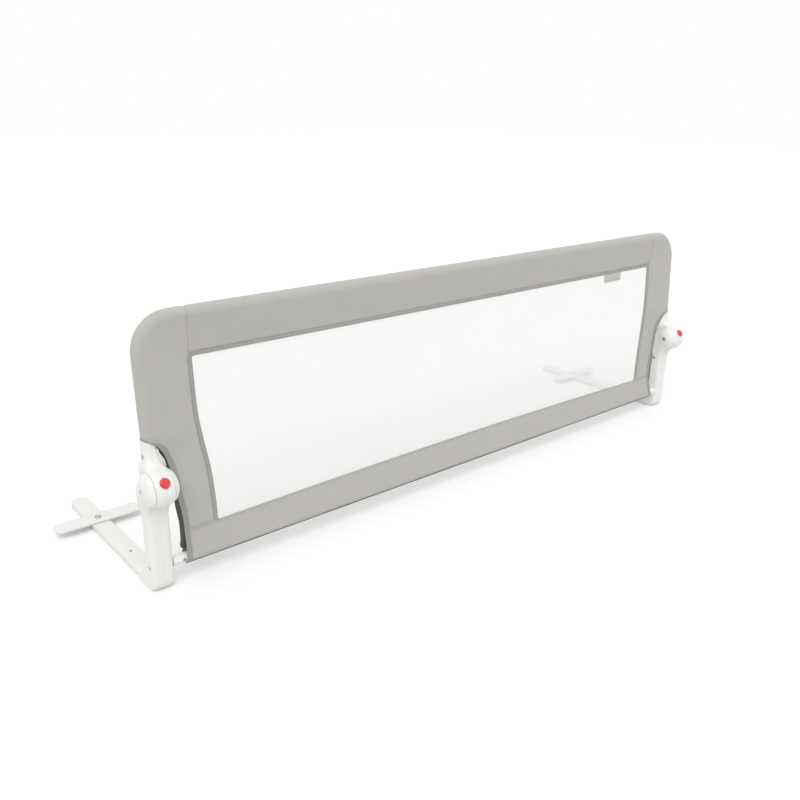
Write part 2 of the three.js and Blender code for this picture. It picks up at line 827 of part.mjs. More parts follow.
function topTube() {
  const bore = tubeRadius - tubeWall;
  const swaged = bore - seatGap;
  const inner = swaged - tubeWall;
  const shoulder = topJointX - seatGap / 2;
  const tip = topJointX + jointDepth;
  return pipeX([
    [inner, -tip],
    [swaged, -tip],
    [swaged, -shoulder],
    [tubeRadius, -shoulder],
    [tubeRadius, shoulder],
    [swaged, shoulder],
    [swaged, tip],
    [inner, tip],
  ]);
}

function ring(outer, inner, x0, x1) {
  return pipeX([[inner, x0], [outer, x0], [outer, x1], [inner, x1]]);
}

// Arm: a pressed channel, open underneath, with a round end
function armShape(inset, front) {
  const half = armWidth / 2 - inset;
  const bend = armReach - armWidth / 2;
  const shape = new THREE.Shape();
  shape.moveTo(-half, front);
  shape.lineTo(half, front);
  shape.lineTo(half, bend);
  shape.absarc(0, bend, half, 0, Math.PI, false);
  shape.closePath();
  return shape;
}

function plate(shape, z0, z1, steps = roundSides / 3) {
  return new THREE.ExtrudeGeometry(shape, { depth: z1 - z0, bevelEnabled: false, curveSegments: steps })
    .translate(0, 0, z0);
}

function baseArm() {
  const front = legFront + footRound + legWall + seatGap;
  const skin = armHeight - armWall;
  return cutBy(
    solidOf(plate(armShape(0, front), 0, armHeight)),
    plate(armShape(armWall, front - overrun), -overrun, skin),
    rodZ(armHoleRadius, 0, 2 * armHeight, 0, armHoleY),
    rodZ(rivetRadius + seatGap, 0, 2 * armHeight, 0, rivetY),
    rodZ(screwRadius + seatGap, 0, 2 * armHeight, ...armScrewPlace),
  );
}

function armPad() {
  return plate(armShape(armWall + seatGap, armReach - padLength), 0, armHeight - armWall - seatGap);
}

function armScrew() {
  const seat = armHeight - armWall - seatGap;
  const head = seat - screwHeadHeight;
  const tip = toeHeight - overrun - seatGap;
  const wide = [[0, head], [screwHeadRadius, head], [screwHeadRadius, seat]];
  const narrow = [[screwRadius, seat], [screwRadius, tip], [0, tip]];
  return alongZ(turned([...wide, ...narrow])).translate(...armScrewPlace, 0);
}

// Cross bar: a flat bar with rounded ends that swivels on its rivet
function crossBar() {
  const x = crossBarLength / 2;
  const y = crossBarWidth / 2;
  const r = crossBarCorner;
  const shape = new THREE.Shape();
  shape.absarc(x - r, y - r, r, 0, Math.PI / 2, false);
  shape.absarc(r - x, y - r, r, Math.PI / 2, Math.PI, false);
  shape.absarc(r - x, r - y, r, Math.PI, 1.5 * Math.PI, false);
  shape.absarc(x - r, r - y, r, 1.5 * Math.PI, 2 * Math.PI, false);
  shape.holes.push(new THREE.Path().absarc(0, 0, rivetRadius + runningGap, 0, 2 * Math.PI, true));
  return new THREE.ExtrudeGeometry(shape, {
    depth: crossBarThickness - 2 * crossBarBevel,
    bevelThickness: crossBarBevel,
    bevelSize: crossBarBevel,
    bevelOffset: -crossBarBevel,
    bevelSegments: 1,
    curveSegments: roundSides / 3,
  }).translate(0, 0, crossBarBevel);
}

function rivet() {
  const under = armHeight - armWall - seatGap;
  const over = armHeight + crossBarThickness + 2 * seatGap;
  const top = over + rivetHeadHeight;
  return alongZ(
    turned([
      [0, under - rivetHeadHeight],
      [rivetHeadRadius, under - rivetHeadHeight],
      [rivetHeadRadius, under],
      [rivetRadius, under],
      [rivetRadius, over],
      [rivetHeadRadius, over],
      [rivetHeadRadius * domeShare, top - rivetHeadHeight / 2],
      [rivetHeadRadius / 2, top],
      [0, top],
    ]),
  );
}

// Plug between the lower tube and the leg, with its pilot bores
function plug() {
  const face = -legWidth / 2 - seatGap;
  const shoulder = seatGap - lowTubeInset;
  const tip = -lowTubeInset - plugSpigotDepth;
  const spigot = lowTubeRadius - tubeWall - seatGap;
  const head = [[0, face], [lowTubeRadius, face], [lowTubeRadius, shoulder]];
  const stem = [[spigot, shoulder], [spigot, tip], [0, tip]];
  return cutBy(
    solidOf(alongX(turned([...head, ...stem], tubeSides))),
    screwHole(legWidth / 2 - screwHeadDepth, lowTubeScrewLength, -1, screwRadius),
    plugScrew(seatGap).translate(face - plugScrewInset, 0, 0),
  );
}

// A short screw into the plug from the front: grown by a gap, it is its own hole
function plugScrew(gap) {
  const top = lowTubeRadius + screwHeadHeight / 2 + gap;
  const seat = lowTubeRadius - screwHeadHeight / 2 - gap;
  const tip = lowTubeRadius - plugScrewLength - gap;
  const wide = screwHeadRadius - screwRadius / 2 + gap;
  const narrow = screwRadius + gap;
  const head = [[0, top], [wide, top], [wide, seat]];
  const shank = [[narrow, seat], [narrow, tip], [0, tip]];
  return turned([...head, ...shank]).rotateX(Math.PI);
}

// The pivot's bolt: a round head sunk in the outer cheek, its thread in the nut
function pivotBolt() {
  const neck = pivotHeadX - pivotHeadHeight;
  const tip = -pivotHeadX - seatGap;
  return alongX(
    turned([
      [0, pivotHeadX],
      [pivotHeadRadius, pivotHeadX],
      [pivotHeadRadius, neck],
      [pivotBoltRadius, neck],
      [pivotBoltRadius, tip],
      [0, tip],
    ]),
  );
}

// The pivot's nut: hexagonal, sunk in the inner cheek
function pivotNut() {
  const point = nutWidth / Math.sqrt(3);
  const end = nutHeight / 2;
  return cutBy(
    solidOf(alongX(turned([[0, -end], [point, -end], [point, end], [0, end]], nutSides))),
    rodX(pivotBoltRadius + seatGap, -nutHeight, nutHeight),
  );
}

function releaseButton() {
  const body = turned([
    [0, stemFoot],
    [stemRadius, stemFoot],
    [stemRadius, collarTop - collarThickness],
    [collarRadius, collarTop - collarThickness],
    [collarRadius, collarTop],
    [buttonRadius, collarTop],
    [buttonRadius, buttonTop - buttonDome],
    [buttonRadius * domeShare, buttonTop - buttonDome / 3],
    [buttonRadius / 2, buttonTop],
    [0, buttonTop],
  ]);
  const slot = block(
    -hubWidth,
    hubWidth,
    lockBarFoot - seatGap,
    lockBarFoot + lockBarDepth + seatGap,
    -lockBarWidth / 2 - seatGap,
    lockBarWidth / 2 + seatGap,
  );
  return cutBy(solidOf(body), slot);
}

function buttonSpring() {
  const outer = springRadius;
  const inner = springRadius - springWire;
  const foot = springFloor + seatGap;
  const top = stemFoot - seatGap;
  return turned([[inner, foot], [outer, foot], [outer, top], [inner, top]]);
}

function lockBar() {
  const reach = knuckleWidth / 2 + lockBarReach;
  const half = lockBarWidth / 2;
  return block(-reach, reach, lockBarFoot, lockBarFoot + lockBarDepth, -half, half);
}

function group(...children) {
  const made = new THREE.Group();
  made.add(...children);
  return made;
}

function placed(object, x, y, z) {
  object.position.set(x, y, z);
  return object;
}

// Everything that is made once for each end
function endAssembly(end, side) {
  const [legY, legZ] = legScrewPlace;
  const [neckY, neckZ] = neckScrewPlace;
  const half = legWidth / 2;

  const leg = group(
    ...legShells(end),
    placed(
      piece(`${end}_leg_screw`, screw(-half + screwHeadDepth, legScrewLength, 1), steel()),
      0, legY, legZ,
    ),
    placed(
      piece(`${end}_lower_tube_screw`, screw(half - screwHeadDepth, lowTubeScrewLength, -1), steel()),
      0, lowTubeY, lowTubeHeight,
    ),
    placed(piece(`${end}_lower_tube_plug`, plug(), whitePlastic()), 0, lowTubeY, lowTubeHeight),
    placed(
      piece(`${end}_plug_screw`, plugScrew(0), steel()),
      -half - seatGap - plugScrewInset, lowTubeY, lowTubeHeight,
    ),
    placed(piece(`${end}_pivot_bolt`, pivotBolt(), steel()), 0, pivotY, pivotHeight),
    placed(
      piece(`${end}_pivot_nut`, pivotNut(), steel()),
      -pivotHeadX + nutHeight / 2, pivotY, pivotHeight,
    ),
  );

  const arm = group(
    piece(`${end}_base_arm`, baseArm(), whiteMetal()),
    piece(`${end}_arm_pad`, armPad(), greyRubber()),
    piece(`${end}_arm_screw`, armScrew(), steel()),
    placed(piece(`${end}_cross_bar_rivet`, rivet(), steel()), 0, rivetY, 0),
    placed(piece(`${end}_cross_bar`, crossBar(), whiteMetal()), 0, rivetY, armHeight + seatGap),
  );

  const knuckle = group(
    ...knuckleShells(end),
    placed(
      piece(`${end}_neck_screw`, screw(neckScrewHead, neckScrewLength, -1), steel()),
      0, neckY, neckZ,
    ),
  );

  const lock = placed(
    group(
      piece(`${end}_release_button`, releaseButton(), redPlastic()),
      piece(`${end}_button_spring`, buttonSpring(), steel()),
      piece(`${end}_lock_bar`, lockBar(), steel()),
    ),
    0, pivotY, pivotHeight,
  );
  lock.rotation.x = buttonTurn;

  const socketZ = socketRise + seatGap;
  const neckScrewBore = rodX(screwRadius + seatGap, -hubWidth, hubWidth, neckY, neckZ)
    .applyMatrix4(upperPlane.clone().invert());
  const tube = cutBy(
    solidOf(swept(sideTubeRoute(socketZ, topJointX - endX), tubeRadius, tubeRadius - tubeWall)),
    neckScrewBore,
  );
  const upper = placed(
    group(
      piece(`${end}_side_tube`, tube, whiteMetal()),
      upperSideBand(end),
      piece(`${end}_closure_strip_upper`, aboveFold(closureStrip()), darkTape()),
    ),
    0, foldPlaneY, pivotHeight,
  );
  upper.rotation.x = -upperLean;

  const lower = placed(
    group(
      lowerSideBand(end),
      piece(`${end}_closure_strip_lower`, belowFold(closureStrip()), darkTape()),
    ),
    0, foldPlaneY, pivotHeight,
  );
  lower.rotation.x = -lowerLean;

  const whole = placed(group(leg, arm, knuckle, lock, upper, lower), side * endX, 0, 0);
  whole.scale.x = side;
  return whole;
}

// What runs along the middle, above the fold
function upperMiddle() {
  const ringSolid = windowSolid(bindingWidth, bindingThickness).subtract(windowSolid(0, legSpacing));
  const labelZ = windowHead - seatGap - labelHeight / 2;
  const label = new THREE.BoxGeometry(labelWidth, labelThickness, labelHeight);
  const upper = placed(
    group(
      placed(piece("top_tube", topTube(), whiteMetal()), 0, 0, upperTubeZ),
      topBand(),
      piece("window_binding_upper", aboveFold(ringSolid), bindingTape()),
      piece("mesh_window_upper", aboveFold(windowSolid(-seatGap, meshThickness)), whiteMesh()),
      placed(
        piece("label_tab", label, greyLabel()),
        endX - labelInset, -(meshThickness + labelThickness) / 2 - seatGap, labelZ,
      ),
    ),
    0, foldPlaneY, pivotHeight,
  );
  upper.rotation.x = -upperLean;
  return upper;
}

// What runs along the middle, below the fold
function lowerMiddle() {
  const ringSolid = windowSolid(bindingWidth, bindingThickness).subtract(windowSolid(0, legSpacing));
  const bore = lowTubeRadius - tubeWall;
  const joint = lowJointLength / 2;
  const connector = bore - seatGap;
  const tubeLine = placed(
    group(
      piece("lower_tube_left", ring(lowTubeRadius, bore, -lowTubeEnd, -seatGap / 2), whiteMetal()),
      piece("lower_tube_right", ring(lowTubeRadius, bore, seatGap / 2, lowTubeEnd), whiteMetal()),
      piece("lower_tube_joint", ring(connector, connector - tubeWall, -joint, joint), steel()),
    ),
    0, 0, lowTubeZ,
  );
  const lower = placed(
    group(
      tubeLine,
      bottomBand(),
      piece("window_binding_lower", belowFold(ringSolid), bindingTape()),
      piece("mesh_window_lower", belowFold(windowSolid(-seatGap, meshThickness)), whiteMesh()),
    ),
    0, foldPlaneY, pivotHeight,
  );
  lower.rotation.x = -lowerLean;
  return lower;
}

const rail = group(endAssembly("left", -1), endAssembly("right", 1), upperMiddle(), lowerMiddle());

// The origin is on the floor, under the middle of the whole rail
const reach = new THREE.Box3().setFromObject(rail, true);
rail.position.y = -(reach.min.y + reach.max.y) / 2;

export default rail;
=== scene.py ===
"""Folding bed guard rail: the looks of every piece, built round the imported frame."""

import json
import logging
import math
from collections.abc import Callable, Iterable, Iterator, Mapping, Sequence
from contextlib import contextmanager
from dataclasses import dataclass, field
from enum import Enum
from typing import NamedTuple

import bmesh
import bpy
from mathutils import Matrix, Vector, noise

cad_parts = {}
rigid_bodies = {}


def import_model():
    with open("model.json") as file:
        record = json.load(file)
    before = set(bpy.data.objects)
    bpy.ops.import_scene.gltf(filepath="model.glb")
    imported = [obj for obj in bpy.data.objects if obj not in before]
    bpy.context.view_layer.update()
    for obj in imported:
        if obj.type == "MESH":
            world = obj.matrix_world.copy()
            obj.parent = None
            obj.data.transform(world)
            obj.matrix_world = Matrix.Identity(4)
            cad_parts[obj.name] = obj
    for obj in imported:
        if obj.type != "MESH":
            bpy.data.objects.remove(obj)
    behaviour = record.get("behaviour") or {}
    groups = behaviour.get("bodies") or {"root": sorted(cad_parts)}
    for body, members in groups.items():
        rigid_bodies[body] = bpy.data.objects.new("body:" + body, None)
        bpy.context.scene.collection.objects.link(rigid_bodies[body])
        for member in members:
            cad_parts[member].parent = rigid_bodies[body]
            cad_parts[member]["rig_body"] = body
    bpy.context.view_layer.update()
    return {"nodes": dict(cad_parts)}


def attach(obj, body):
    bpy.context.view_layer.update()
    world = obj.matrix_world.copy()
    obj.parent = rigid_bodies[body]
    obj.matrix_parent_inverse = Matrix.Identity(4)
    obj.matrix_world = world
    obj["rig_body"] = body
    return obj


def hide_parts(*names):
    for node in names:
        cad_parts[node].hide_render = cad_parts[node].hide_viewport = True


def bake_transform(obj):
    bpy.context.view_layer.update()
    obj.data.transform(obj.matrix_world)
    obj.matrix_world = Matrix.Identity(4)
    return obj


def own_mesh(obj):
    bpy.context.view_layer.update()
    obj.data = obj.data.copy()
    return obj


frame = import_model()

LOG = logging.getLogger("guard_rail")
MM = 0.001
Pair = tuple[float, float]
Triple = tuple[float, float, float]
Place = tuple[float, float, float, float, float]
Piece = bpy.types.Object
Material = bpy.types.Material
Socket = bpy.types.NodeSocket
Tree = bpy.types.NodeTree


class Side(Enum):
    """Which end of the rail a piece belongs to, as seen from the room."""

    LEFT = -1
    RIGHT = 1

    @property
    def word(self) -> str:
        """Return the word that starts this end's names."""
        return self.name.lower()


class Cut(Enum):
    """How one solid is combined with another."""

    TAKE = "DIFFERENCE"
    KEEP = "INTERSECT"


class Section(NamedTuple):
    """A rounded-rectangle slice through a moulded column, in millimetres."""

    height: float
    left: float
    right: float
    front: float
    back: float
    corner: float


class Bench:
    """Modelling steps, done in edit mode as they are by hand."""

    weld = 0.02 * MM
    corner_steps = 7

    @staticmethod
    def clear() -> None:
        """Leave edit mode and deselect every object."""
        if bpy.context.mode != "OBJECT":
            bpy.ops.object.mode_set(mode="OBJECT")
        bpy.ops.object.select_all(action="DESELECT")

    @staticmethod
    def focus(piece: Piece) -> None:
        """Make one object the only selected and active one."""
        Bench.clear()
        piece.select_set(True)
        bpy.context.view_layer.objects.active = piece

    @staticmethod
    @contextmanager
    def editing(
        piece: Piece, kind: str = "FACE", picked: str = "DESELECT"
    ) -> Iterator[bmesh.types.BMesh]:
        """Open a piece in edit mode.

        Args:
            piece: The object to edit.
            kind: The select mode, VERT, EDGE or FACE.
            picked: DESELECT to start with nothing selected, SELECT to start with everything.
        """
        Bench.focus(piece)
        bpy.ops.object.mode_set(mode="EDIT")
        bpy.ops.mesh.select_mode(type=kind)
        bpy.ops.mesh.select_all(action=picked)
        yield bmesh.from_edit_mesh(piece.data)
        bpy.ops.object.mode_set(mode="OBJECT")

    @staticmethod
    def pick(mesh: bmesh.types.BMesh, items: Iterable, wanted: Callable) -> None:
        """Select the vertices, edges or faces that pass a test."""
        for item in items:
            item.select_set(bool(wanted(item)))
        mesh.select_flush_mode()

    @staticmethod
    def drawn(name: str, points: Sequence, edges: Sequence = (), faces: Sequence = ()) -> Piece:
        """Add a mesh object from its points.

        Args:
            name: The new object's name.
            points: Its vertices, in metres.
            edges: Pairs of vertex numbers.
            faces: Rings of vertex numbers.

        Returns:
            The new object, linked to the scene.
        """
        mesh = bpy.data.meshes.new(name)
        mesh.from_pydata(points, edges, faces)
        piece = bpy.data.objects.new(name, mesh)
        bpy.context.scene.collection.objects.link(piece)
        return piece

    @staticmethod
    def started(name: str, add: Callable, **settings: object) -> Piece:
        """Add one of the primitives, with its place applied to its mesh.

        Args:
            name: The new object's name.
            add: The operator that adds the primitive.
            **settings: The operator's own settings.

        Returns:
            The new object at the origin.
        """
        Bench.clear()
        add(**settings)
        piece = bpy.context.object
        piece.name = name
        piece.data.name = name
        bpy.ops.object.transform_apply(location=True, rotation=True, scale=True)
        return piece

    @staticmethod
    def modify(piece: Piece, kind: str, **settings: object) -> None:
        """Add a modifier to a piece and apply it."""
        Bench.focus(piece)
        modifier = piece.modifiers.new(kind.lower(), kind)
        for key, value in settings.items():
            setattr(modifier, key, value)
        bpy.ops.object.modifier_apply(modifier=modifier.name)

    @staticmethod
    def combine(piece: Piece, cut: Cut, *tools: Piece) -> None:
        """Cut or keep a piece by other solids, which are used up."""
        for tool in tools:
            Bench.modify(piece, "BOOLEAN", operation=cut.value, object=tool, solver="EXACT")
            bpy.data.meshes.remove(tool.data)

    @staticmethod
    def merged(piece: Piece, *others: Piece) -> None:
        """Make several objects one, without joining their surfaces."""
        Bench.clear()
        for other in (*others, piece):
            other.select_set(True)
        bpy.context.view_layer.objects.active = piece
        bpy.ops.object.join()

    @staticmethod
    def tidied(piece: Piece, turn: bool = True) -> None:
        """Merge doubles and, unless told not to, turn every face outwards."""
        with Bench.editing(piece, "VERT", "SELECT"):
            bpy.ops.mesh.remove_doubles(threshold=Bench.weld)
            if turn:
                bpy.ops.mesh.normals_make_consistent(inside=False)

    @staticmethod
    def capped(piece: Piece) -> None:
        """Close a tube's open ends."""
        with Bench.editing(piece, "EDGE", "SELECT"):
            bpy.ops.mesh.fill_holes(sides=0)
        Bench.tidied(piece)

    @staticmethod
    def box(name: str, low: Sequence[float], high: Sequence[float]) -> Piece:
        """Add a block between two corners, to cut or keep with."""
        middle = [(a + b) / 2 for a, b in zip(low, high)]
        sides = [b - a for a, b in zip(low, high)]
        return Bench.started(
            name, bpy.ops.mesh.primitive_cube_add, size=1, location=middle, scale=sides
        )

    @staticmethod
    def rod(name: str, radius: float, start: Vector, end: Vector, sides: int = 48) -> Piece:
        """Add a round bar, its radius in millimetres, from one point to another, to cut with."""
        along = end - start
        return Bench.started(
            name,
            bpy.ops.mesh.primitive_cylinder_add,
            vertices=sides,
            radius=radius * MM,
            depth=along.length,
            location=(start + end) / 2,
            rotation=along.to_track_quat("Z", "Y").to_euler(),
        )

    @staticmethod
    def prism(name: str, outline: Sequence[Vector], push: Vector) -> Piece:
        """Draw a flat outline and extrude it into a solid.

        Args:
            name: The new object's name.
            outline: The outline's points in order.
            push: How far and which way it is extruded.

        Returns:
            The closed solid.
        """
        piece = Bench.drawn(name, outline, faces=[list(range(len(outline)))])
        with Bench.editing(piece, "FACE", "SELECT"):
            bpy.ops.mesh.extrude_region_move(TRANSFORM_OT_translate={"value": push})
        Bench.tidied(piece)
        return piece

    @staticmethod
    def spun(name: str, profile: Sequence[Pair], axis: Vector, steps: int = 48) -> Piece:
        """Spin a profile about an axis through the origin.

        Args:
            name: The new object's name.
            profile: Pairs of radius and distance along the axis, in millimetres, closed on
                itself or by the axis.
            axis: The axis to spin about.
            steps: How many sides the round has.

        Returns:
            The closed solid.
        """
        across = axis.orthogonal().normalized()
        points = [axis * (along * MM) + across * (radius * MM) for radius, along in profile]
        joins = [(i, i + 1) for i in range(len(points) - 1)]
        piece = Bench.drawn(name, points, joins)
        with Bench.editing(piece, "VERT", "SELECT"):
            bpy.ops.mesh.spin(steps=steps, angle=2 * math.pi, center=(0, 0, 0), axis=axis)
        Bench.tidied(piece)
        return piece

    @staticmethod
    def column(name: str, sections: Sequence[Section]) -> Piece:
        """Bridge rounded-rectangle rings into a closed column."""
        piece = Bench.started(name, bpy.ops.mesh.primitive_plane_add, size=1)
        with Bench.editing(piece, "FACE", "SELECT"):
            bpy.ops.mesh.delete(type="VERT")
            for section in sections:
                cut = Section(*(size * MM for size in section))
                wide, deep = cut.right - cut.left, cut.back - cut.front
                middle = ((cut.left + cut.right) / 2, (cut.front + cut.back) / 2, cut.height)
                bpy.ops.mesh.primitive_plane_add(size=1, location=middle)
                bpy.ops.transform.resize(value=(wide, deep, 1), center_override=middle)
                bpy.ops.mesh.bevel(
                    offset=min(cut.corner, 0.49 * wide, 0.49 * deep),
                    segments=Bench.corner_steps,
                    affect="VERTICES",
                )
                bpy.ops.mesh.delete(type="ONLY_FACE")
            bpy.ops.mesh.select_mode(type="EDGE")
            bpy.ops.mesh.select_all(action="SELECT")
            bpy.ops.mesh.bridge_edge_loops()
            bpy.ops.mesh.select_all(action="SELECT")
            bpy.ops.mesh.fill_holes(sides=0)
        Bench.tidied(piece)
        return piece

    @staticmethod
    def moulded(piece: Piece, voxel: float, rounds: int) -> None:
        """Melt a piece's parts into one skin and soften its corners.

        Args:
            piece: One or more closed, overlapping solids.
            voxel: The grid that it is melted on, in millimetres.
            rounds: How many times the skin is smoothed.
        """
        Bench.modify(piece, "REMESH", mode="VOXEL", voxel_size=voxel * MM)
        Bench.modify(piece, "SMOOTH", factor=0.5, iterations=rounds)

    @staticmethod
    def thinned(piece: Piece, share: float) -> None:
        """Keep only a share of a dense mesh's triangles."""
        Bench.modify(piece, "DECIMATE", ratio=share)

    @staticmethod
    def halved(body: Piece, stem: str, seam: float) -> dict[str, Piece]:
        """Split a moulded body into two shells along its parting line.

        Args:
            body: The body, which is used up.
            stem: The word that starts the shells' names.
            seam: How far each shell stops short of the parting line, in millimetres.

        Returns:
            The outer and inner shells in the end's own frame, by name.
        """
        far, shells = 200, {}
        for name, low, high in (("outer", seam, far), ("inner", -far, -seam)):
            shell = Bench.copied(body, f"{stem}_{name}_shell")
            keep = Bench.box("half", at(low, -far, -far), at(high, far, 2 * far))
            Bench.combine(shell, Cut.KEEP, keep)
            Bench.shaded(shell, 40)
            shells[shell.name] = shell
        bpy.data.meshes.remove(body.data)
        return shells

    @staticmethod
    def shaded(piece: Piece, angle: float = 35) -> Piece:
        """Shade a piece smooth, but for edges sharper than an angle in degrees, and return it."""
        Bench.focus(piece)
        bpy.ops.object.shade_smooth_by_angle(angle=math.radians(angle))
        return piece

    @staticmethod
    def copied(piece: Piece, name: str, move: Matrix | None = None) -> Piece:
        """Copy a piece with a mesh of its own.

        Args:
            piece: The piece to copy.
            name: The copy's name.
            move: Where the copy's mesh is moved to. A mirror turns its faces back outwards.

        Returns:
            The copy, at the origin.
        """
        twin = piece.copy()
        twin.data = piece.data.copy()
        twin.name = name
        twin.data.name = name
        bpy.context.scene.collection.objects.link(twin)
        if move:
            twin.data.transform(move)
            if move.determinant() < 0:
                twin.data.flip_normals()
        return twin


MIRROR = Matrix.Scale(-1, 4, Vector((1, 0, 0)))
FORWARD = Vector((0, -1, 0))
UP = Vector((0, 0, 1))
OUTWARD = Vector((1, 0, 0))


def between(low: float, high: float, share: float) -> float:
    """Return the value a share of the way from low to high."""
    return low + (high - low) * share


def eased(share: float) -> float:
    """Return a share, held to 0 to 1 and eased at both ends."""
    share = max(0.0, min(1.0, share))
    return share * share * (3 - 2 * share)


def squared(value: float, power: float) -> float:
    """Push a sine or cosine out towards a squarer round, and keep its sign."""
    return math.copysign(abs(value) ** power, value)


def shares(count: int) -> list[float]:
    """Return count + 1 even shares from 0 to 1."""
    return [i / count for i in range(count + 1)]


def arc(centre: Pair, radius: float, start: float, end: float, steps: int) -> list[Pair]:
    """Return points on an arc between two angles in degrees."""
    angles = [math.radians(between(start, end, share)) for share in shares(steps)]
    return [(centre[0] + radius * math.cos(a), centre[1] + radius * math.sin(a)) for a in angles]


def at(x: float, y: float, z: float) -> Vector:
    """Return a point in metres from millimetres."""
    return Vector((x, y, z)) * MM


def spline(points: Sequence[Pair], steps: int) -> list[Pair]:
    """Draw a smooth line through points, with even steps between each two."""
    line = []
    last = len(points) - 1
    for i in range(last):
        a, b, c, d = (Vector(points[max(0, min(last, i + k))]) for k in (-1, 0, 1, 2))
        for share in shares(steps)[: -1 if i < last - 1 else None]:
            square, cube = share**2, share**3
            spot = 0.5 * (
                2 * b
                + (c - a) * share
                + (2 * a - 5 * b + 4 * c - d) * square
                + (3 * b - a - 3 * c + d) * cube
            )
            line.append((spot.x, spot.y))
    return line


def offset(line: Sequence[Pair], gap: float) -> list[Pair]:
    """Move a line sideways by a gap, to the right of the way it runs."""
    moved = []
    last = len(line) - 1
    for i, (x, y) in enumerate(line):
        (x0, y0), (x1, y1) = line[max(0, i - 1)], line[min(last, i + 1)]
        length = math.hypot(x1 - x0, y1 - y0)
        moved.append((x + gap * (y1 - y0) / length, y - gap * (x1 - x0) / length))
    return moved


@dataclass(frozen=True)
class Plan:
    """Where the ends, the pivots and the cover's planes stand, in millimetres."""

    end_x: float = 751
    shift_y: float = -178.816
    pivot_y: float = -20
    pivot_z: float = 205
    plane_y: float = 7.2
    upper_lean: float = math.radians(3.6)
    lower_lean: float = math.atan2(5.2, 159)
    lean_blend: float = 30
    tube_x: float = -4
    top_s: float = 274.54
    low_s: float = -159.085
    cutout: tuple[Pair, ...] = (
        (-46.99, -177.94), (-46, -143.09), (-49, -120.95), (-49.2, -91.02), (-46.29, -64.99),
        (-42.31, -39.98), (-38.5, -6.97), (-28.99, 35), (-12.71, 62.96), (9.02, 79),
    )  # fmt: skip

    @property
    def pivot(self) -> Pair:
        """Return the pivot's depth and height in an end's own frame."""
        return self.pivot_y, self.pivot_z

    def end(self, side: Side) -> Matrix:
        """Return the move from an end's own frame to the rail's."""
        place = Matrix.Translation(at(self.end_x, self.shift_y, 0))
        return place if side is Side.RIGHT else MIRROR @ place

    def cutout_line(self, gap: float, steps: int = 6) -> list[Pair]:
        """Return the cut-out's edge in an end's own frame, moved out by a gap."""
        return offset(spline(self.cutout, steps), gap)


PLAN = Plan()
SHELL_SHARE = 0.45
FOLD = "fold"


def dressed(piece: Piece, material: Material, slot: str, nodes: Sequence[str]) -> None:
    """Give a piece its material, and hide the nodes that it replaces.

    Args:
        piece: The finished mesh.
        material: What it is made of.
        slot: The record's slot; not used.
        nodes: The nodes that it stands for, if any.
    """
    piece.data.materials.clear()
    piece.data.materials.append(material)
    if nodes:
        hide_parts(*nodes)
    LOG.info("%s: %d faces", piece.name, len(piece.data.polygons))


@dataclass(frozen=True)
class ScrewSize:
    """A pan-head screw's head, length and shank, in millimetres."""

    head: float
    length: float
    shank: float = 2


@dataclass
class Fasteners:
    """How screws and their holes are cut, in millimetres."""

    head_height: float = 2.6
    recess: float = 1.0
    recess_depth: float = 1.7
    wall: float = 0.3
    sides: int = 32

    def screw(self, name: str, size: ScrewSize) -> Piece:
        """Make a pan-head screw with a cross recess, its head's top at the origin facing up.

        Args:
            name: The screw's name.
            size: Its sizes, with its length from the head's top to the tip.

        Returns:
            The screw, pointing down.
        """
        head, shank, low, tip = size.head, size.shank, -self.head_height, -size.length
        profile = [
            (0, 0), (0.45 * head, -0.06), (0.72 * head, -0.24), (0.9 * head, -0.58), (head, -1.1),
            (head, low + 0.2), (head - 0.2, low), (shank, low), (shank, 0.6 + tip),
            (0.6 * shank, tip), (0, tip),
        ]  # fmt: skip
        piece = Bench.spun(name, profile, UP, self.sides)
        reach, half = 0.56 * head, self.recess / 2
        for wide, deep in ((reach, half), (half, reach)):
            low_corner = at(-wide, -deep, -self.recess_depth)
            Bench.combine(piece, Cut.TAKE, Bench.box("recess", low_corner, at(wide, deep, 1)))
        return Bench.shaded(piece)

    def hole(self, size: ScrewSize) -> Piece:
        """Make the stepped cutter for a screw, with its mouth open upwards."""
        wide, narrow = size.head + self.wall, size.shank + self.wall
        mouth, seat, foot = 9, -self.head_height - self.wall, -size.length - 1
        head, shank = [(0, mouth), (wide, mouth), (wide, seat)], [(narrow, seat), (narrow, foot)]
        return Bench.spun("hole", [*head, *shank, (0, foot)], UP, self.sides)


def facing(way: Vector, spot: Vector) -> Matrix:
    """Return the move that takes the origin to a spot and up to a way."""
    return Matrix.Translation(spot) @ way.to_track_quat("Z", "Y").to_matrix().to_4x4()


def moved(piece: Piece, move: Matrix) -> Piece:
    """Move a piece's mesh, and return the piece."""
    piece.data.transform(move)
    return piece


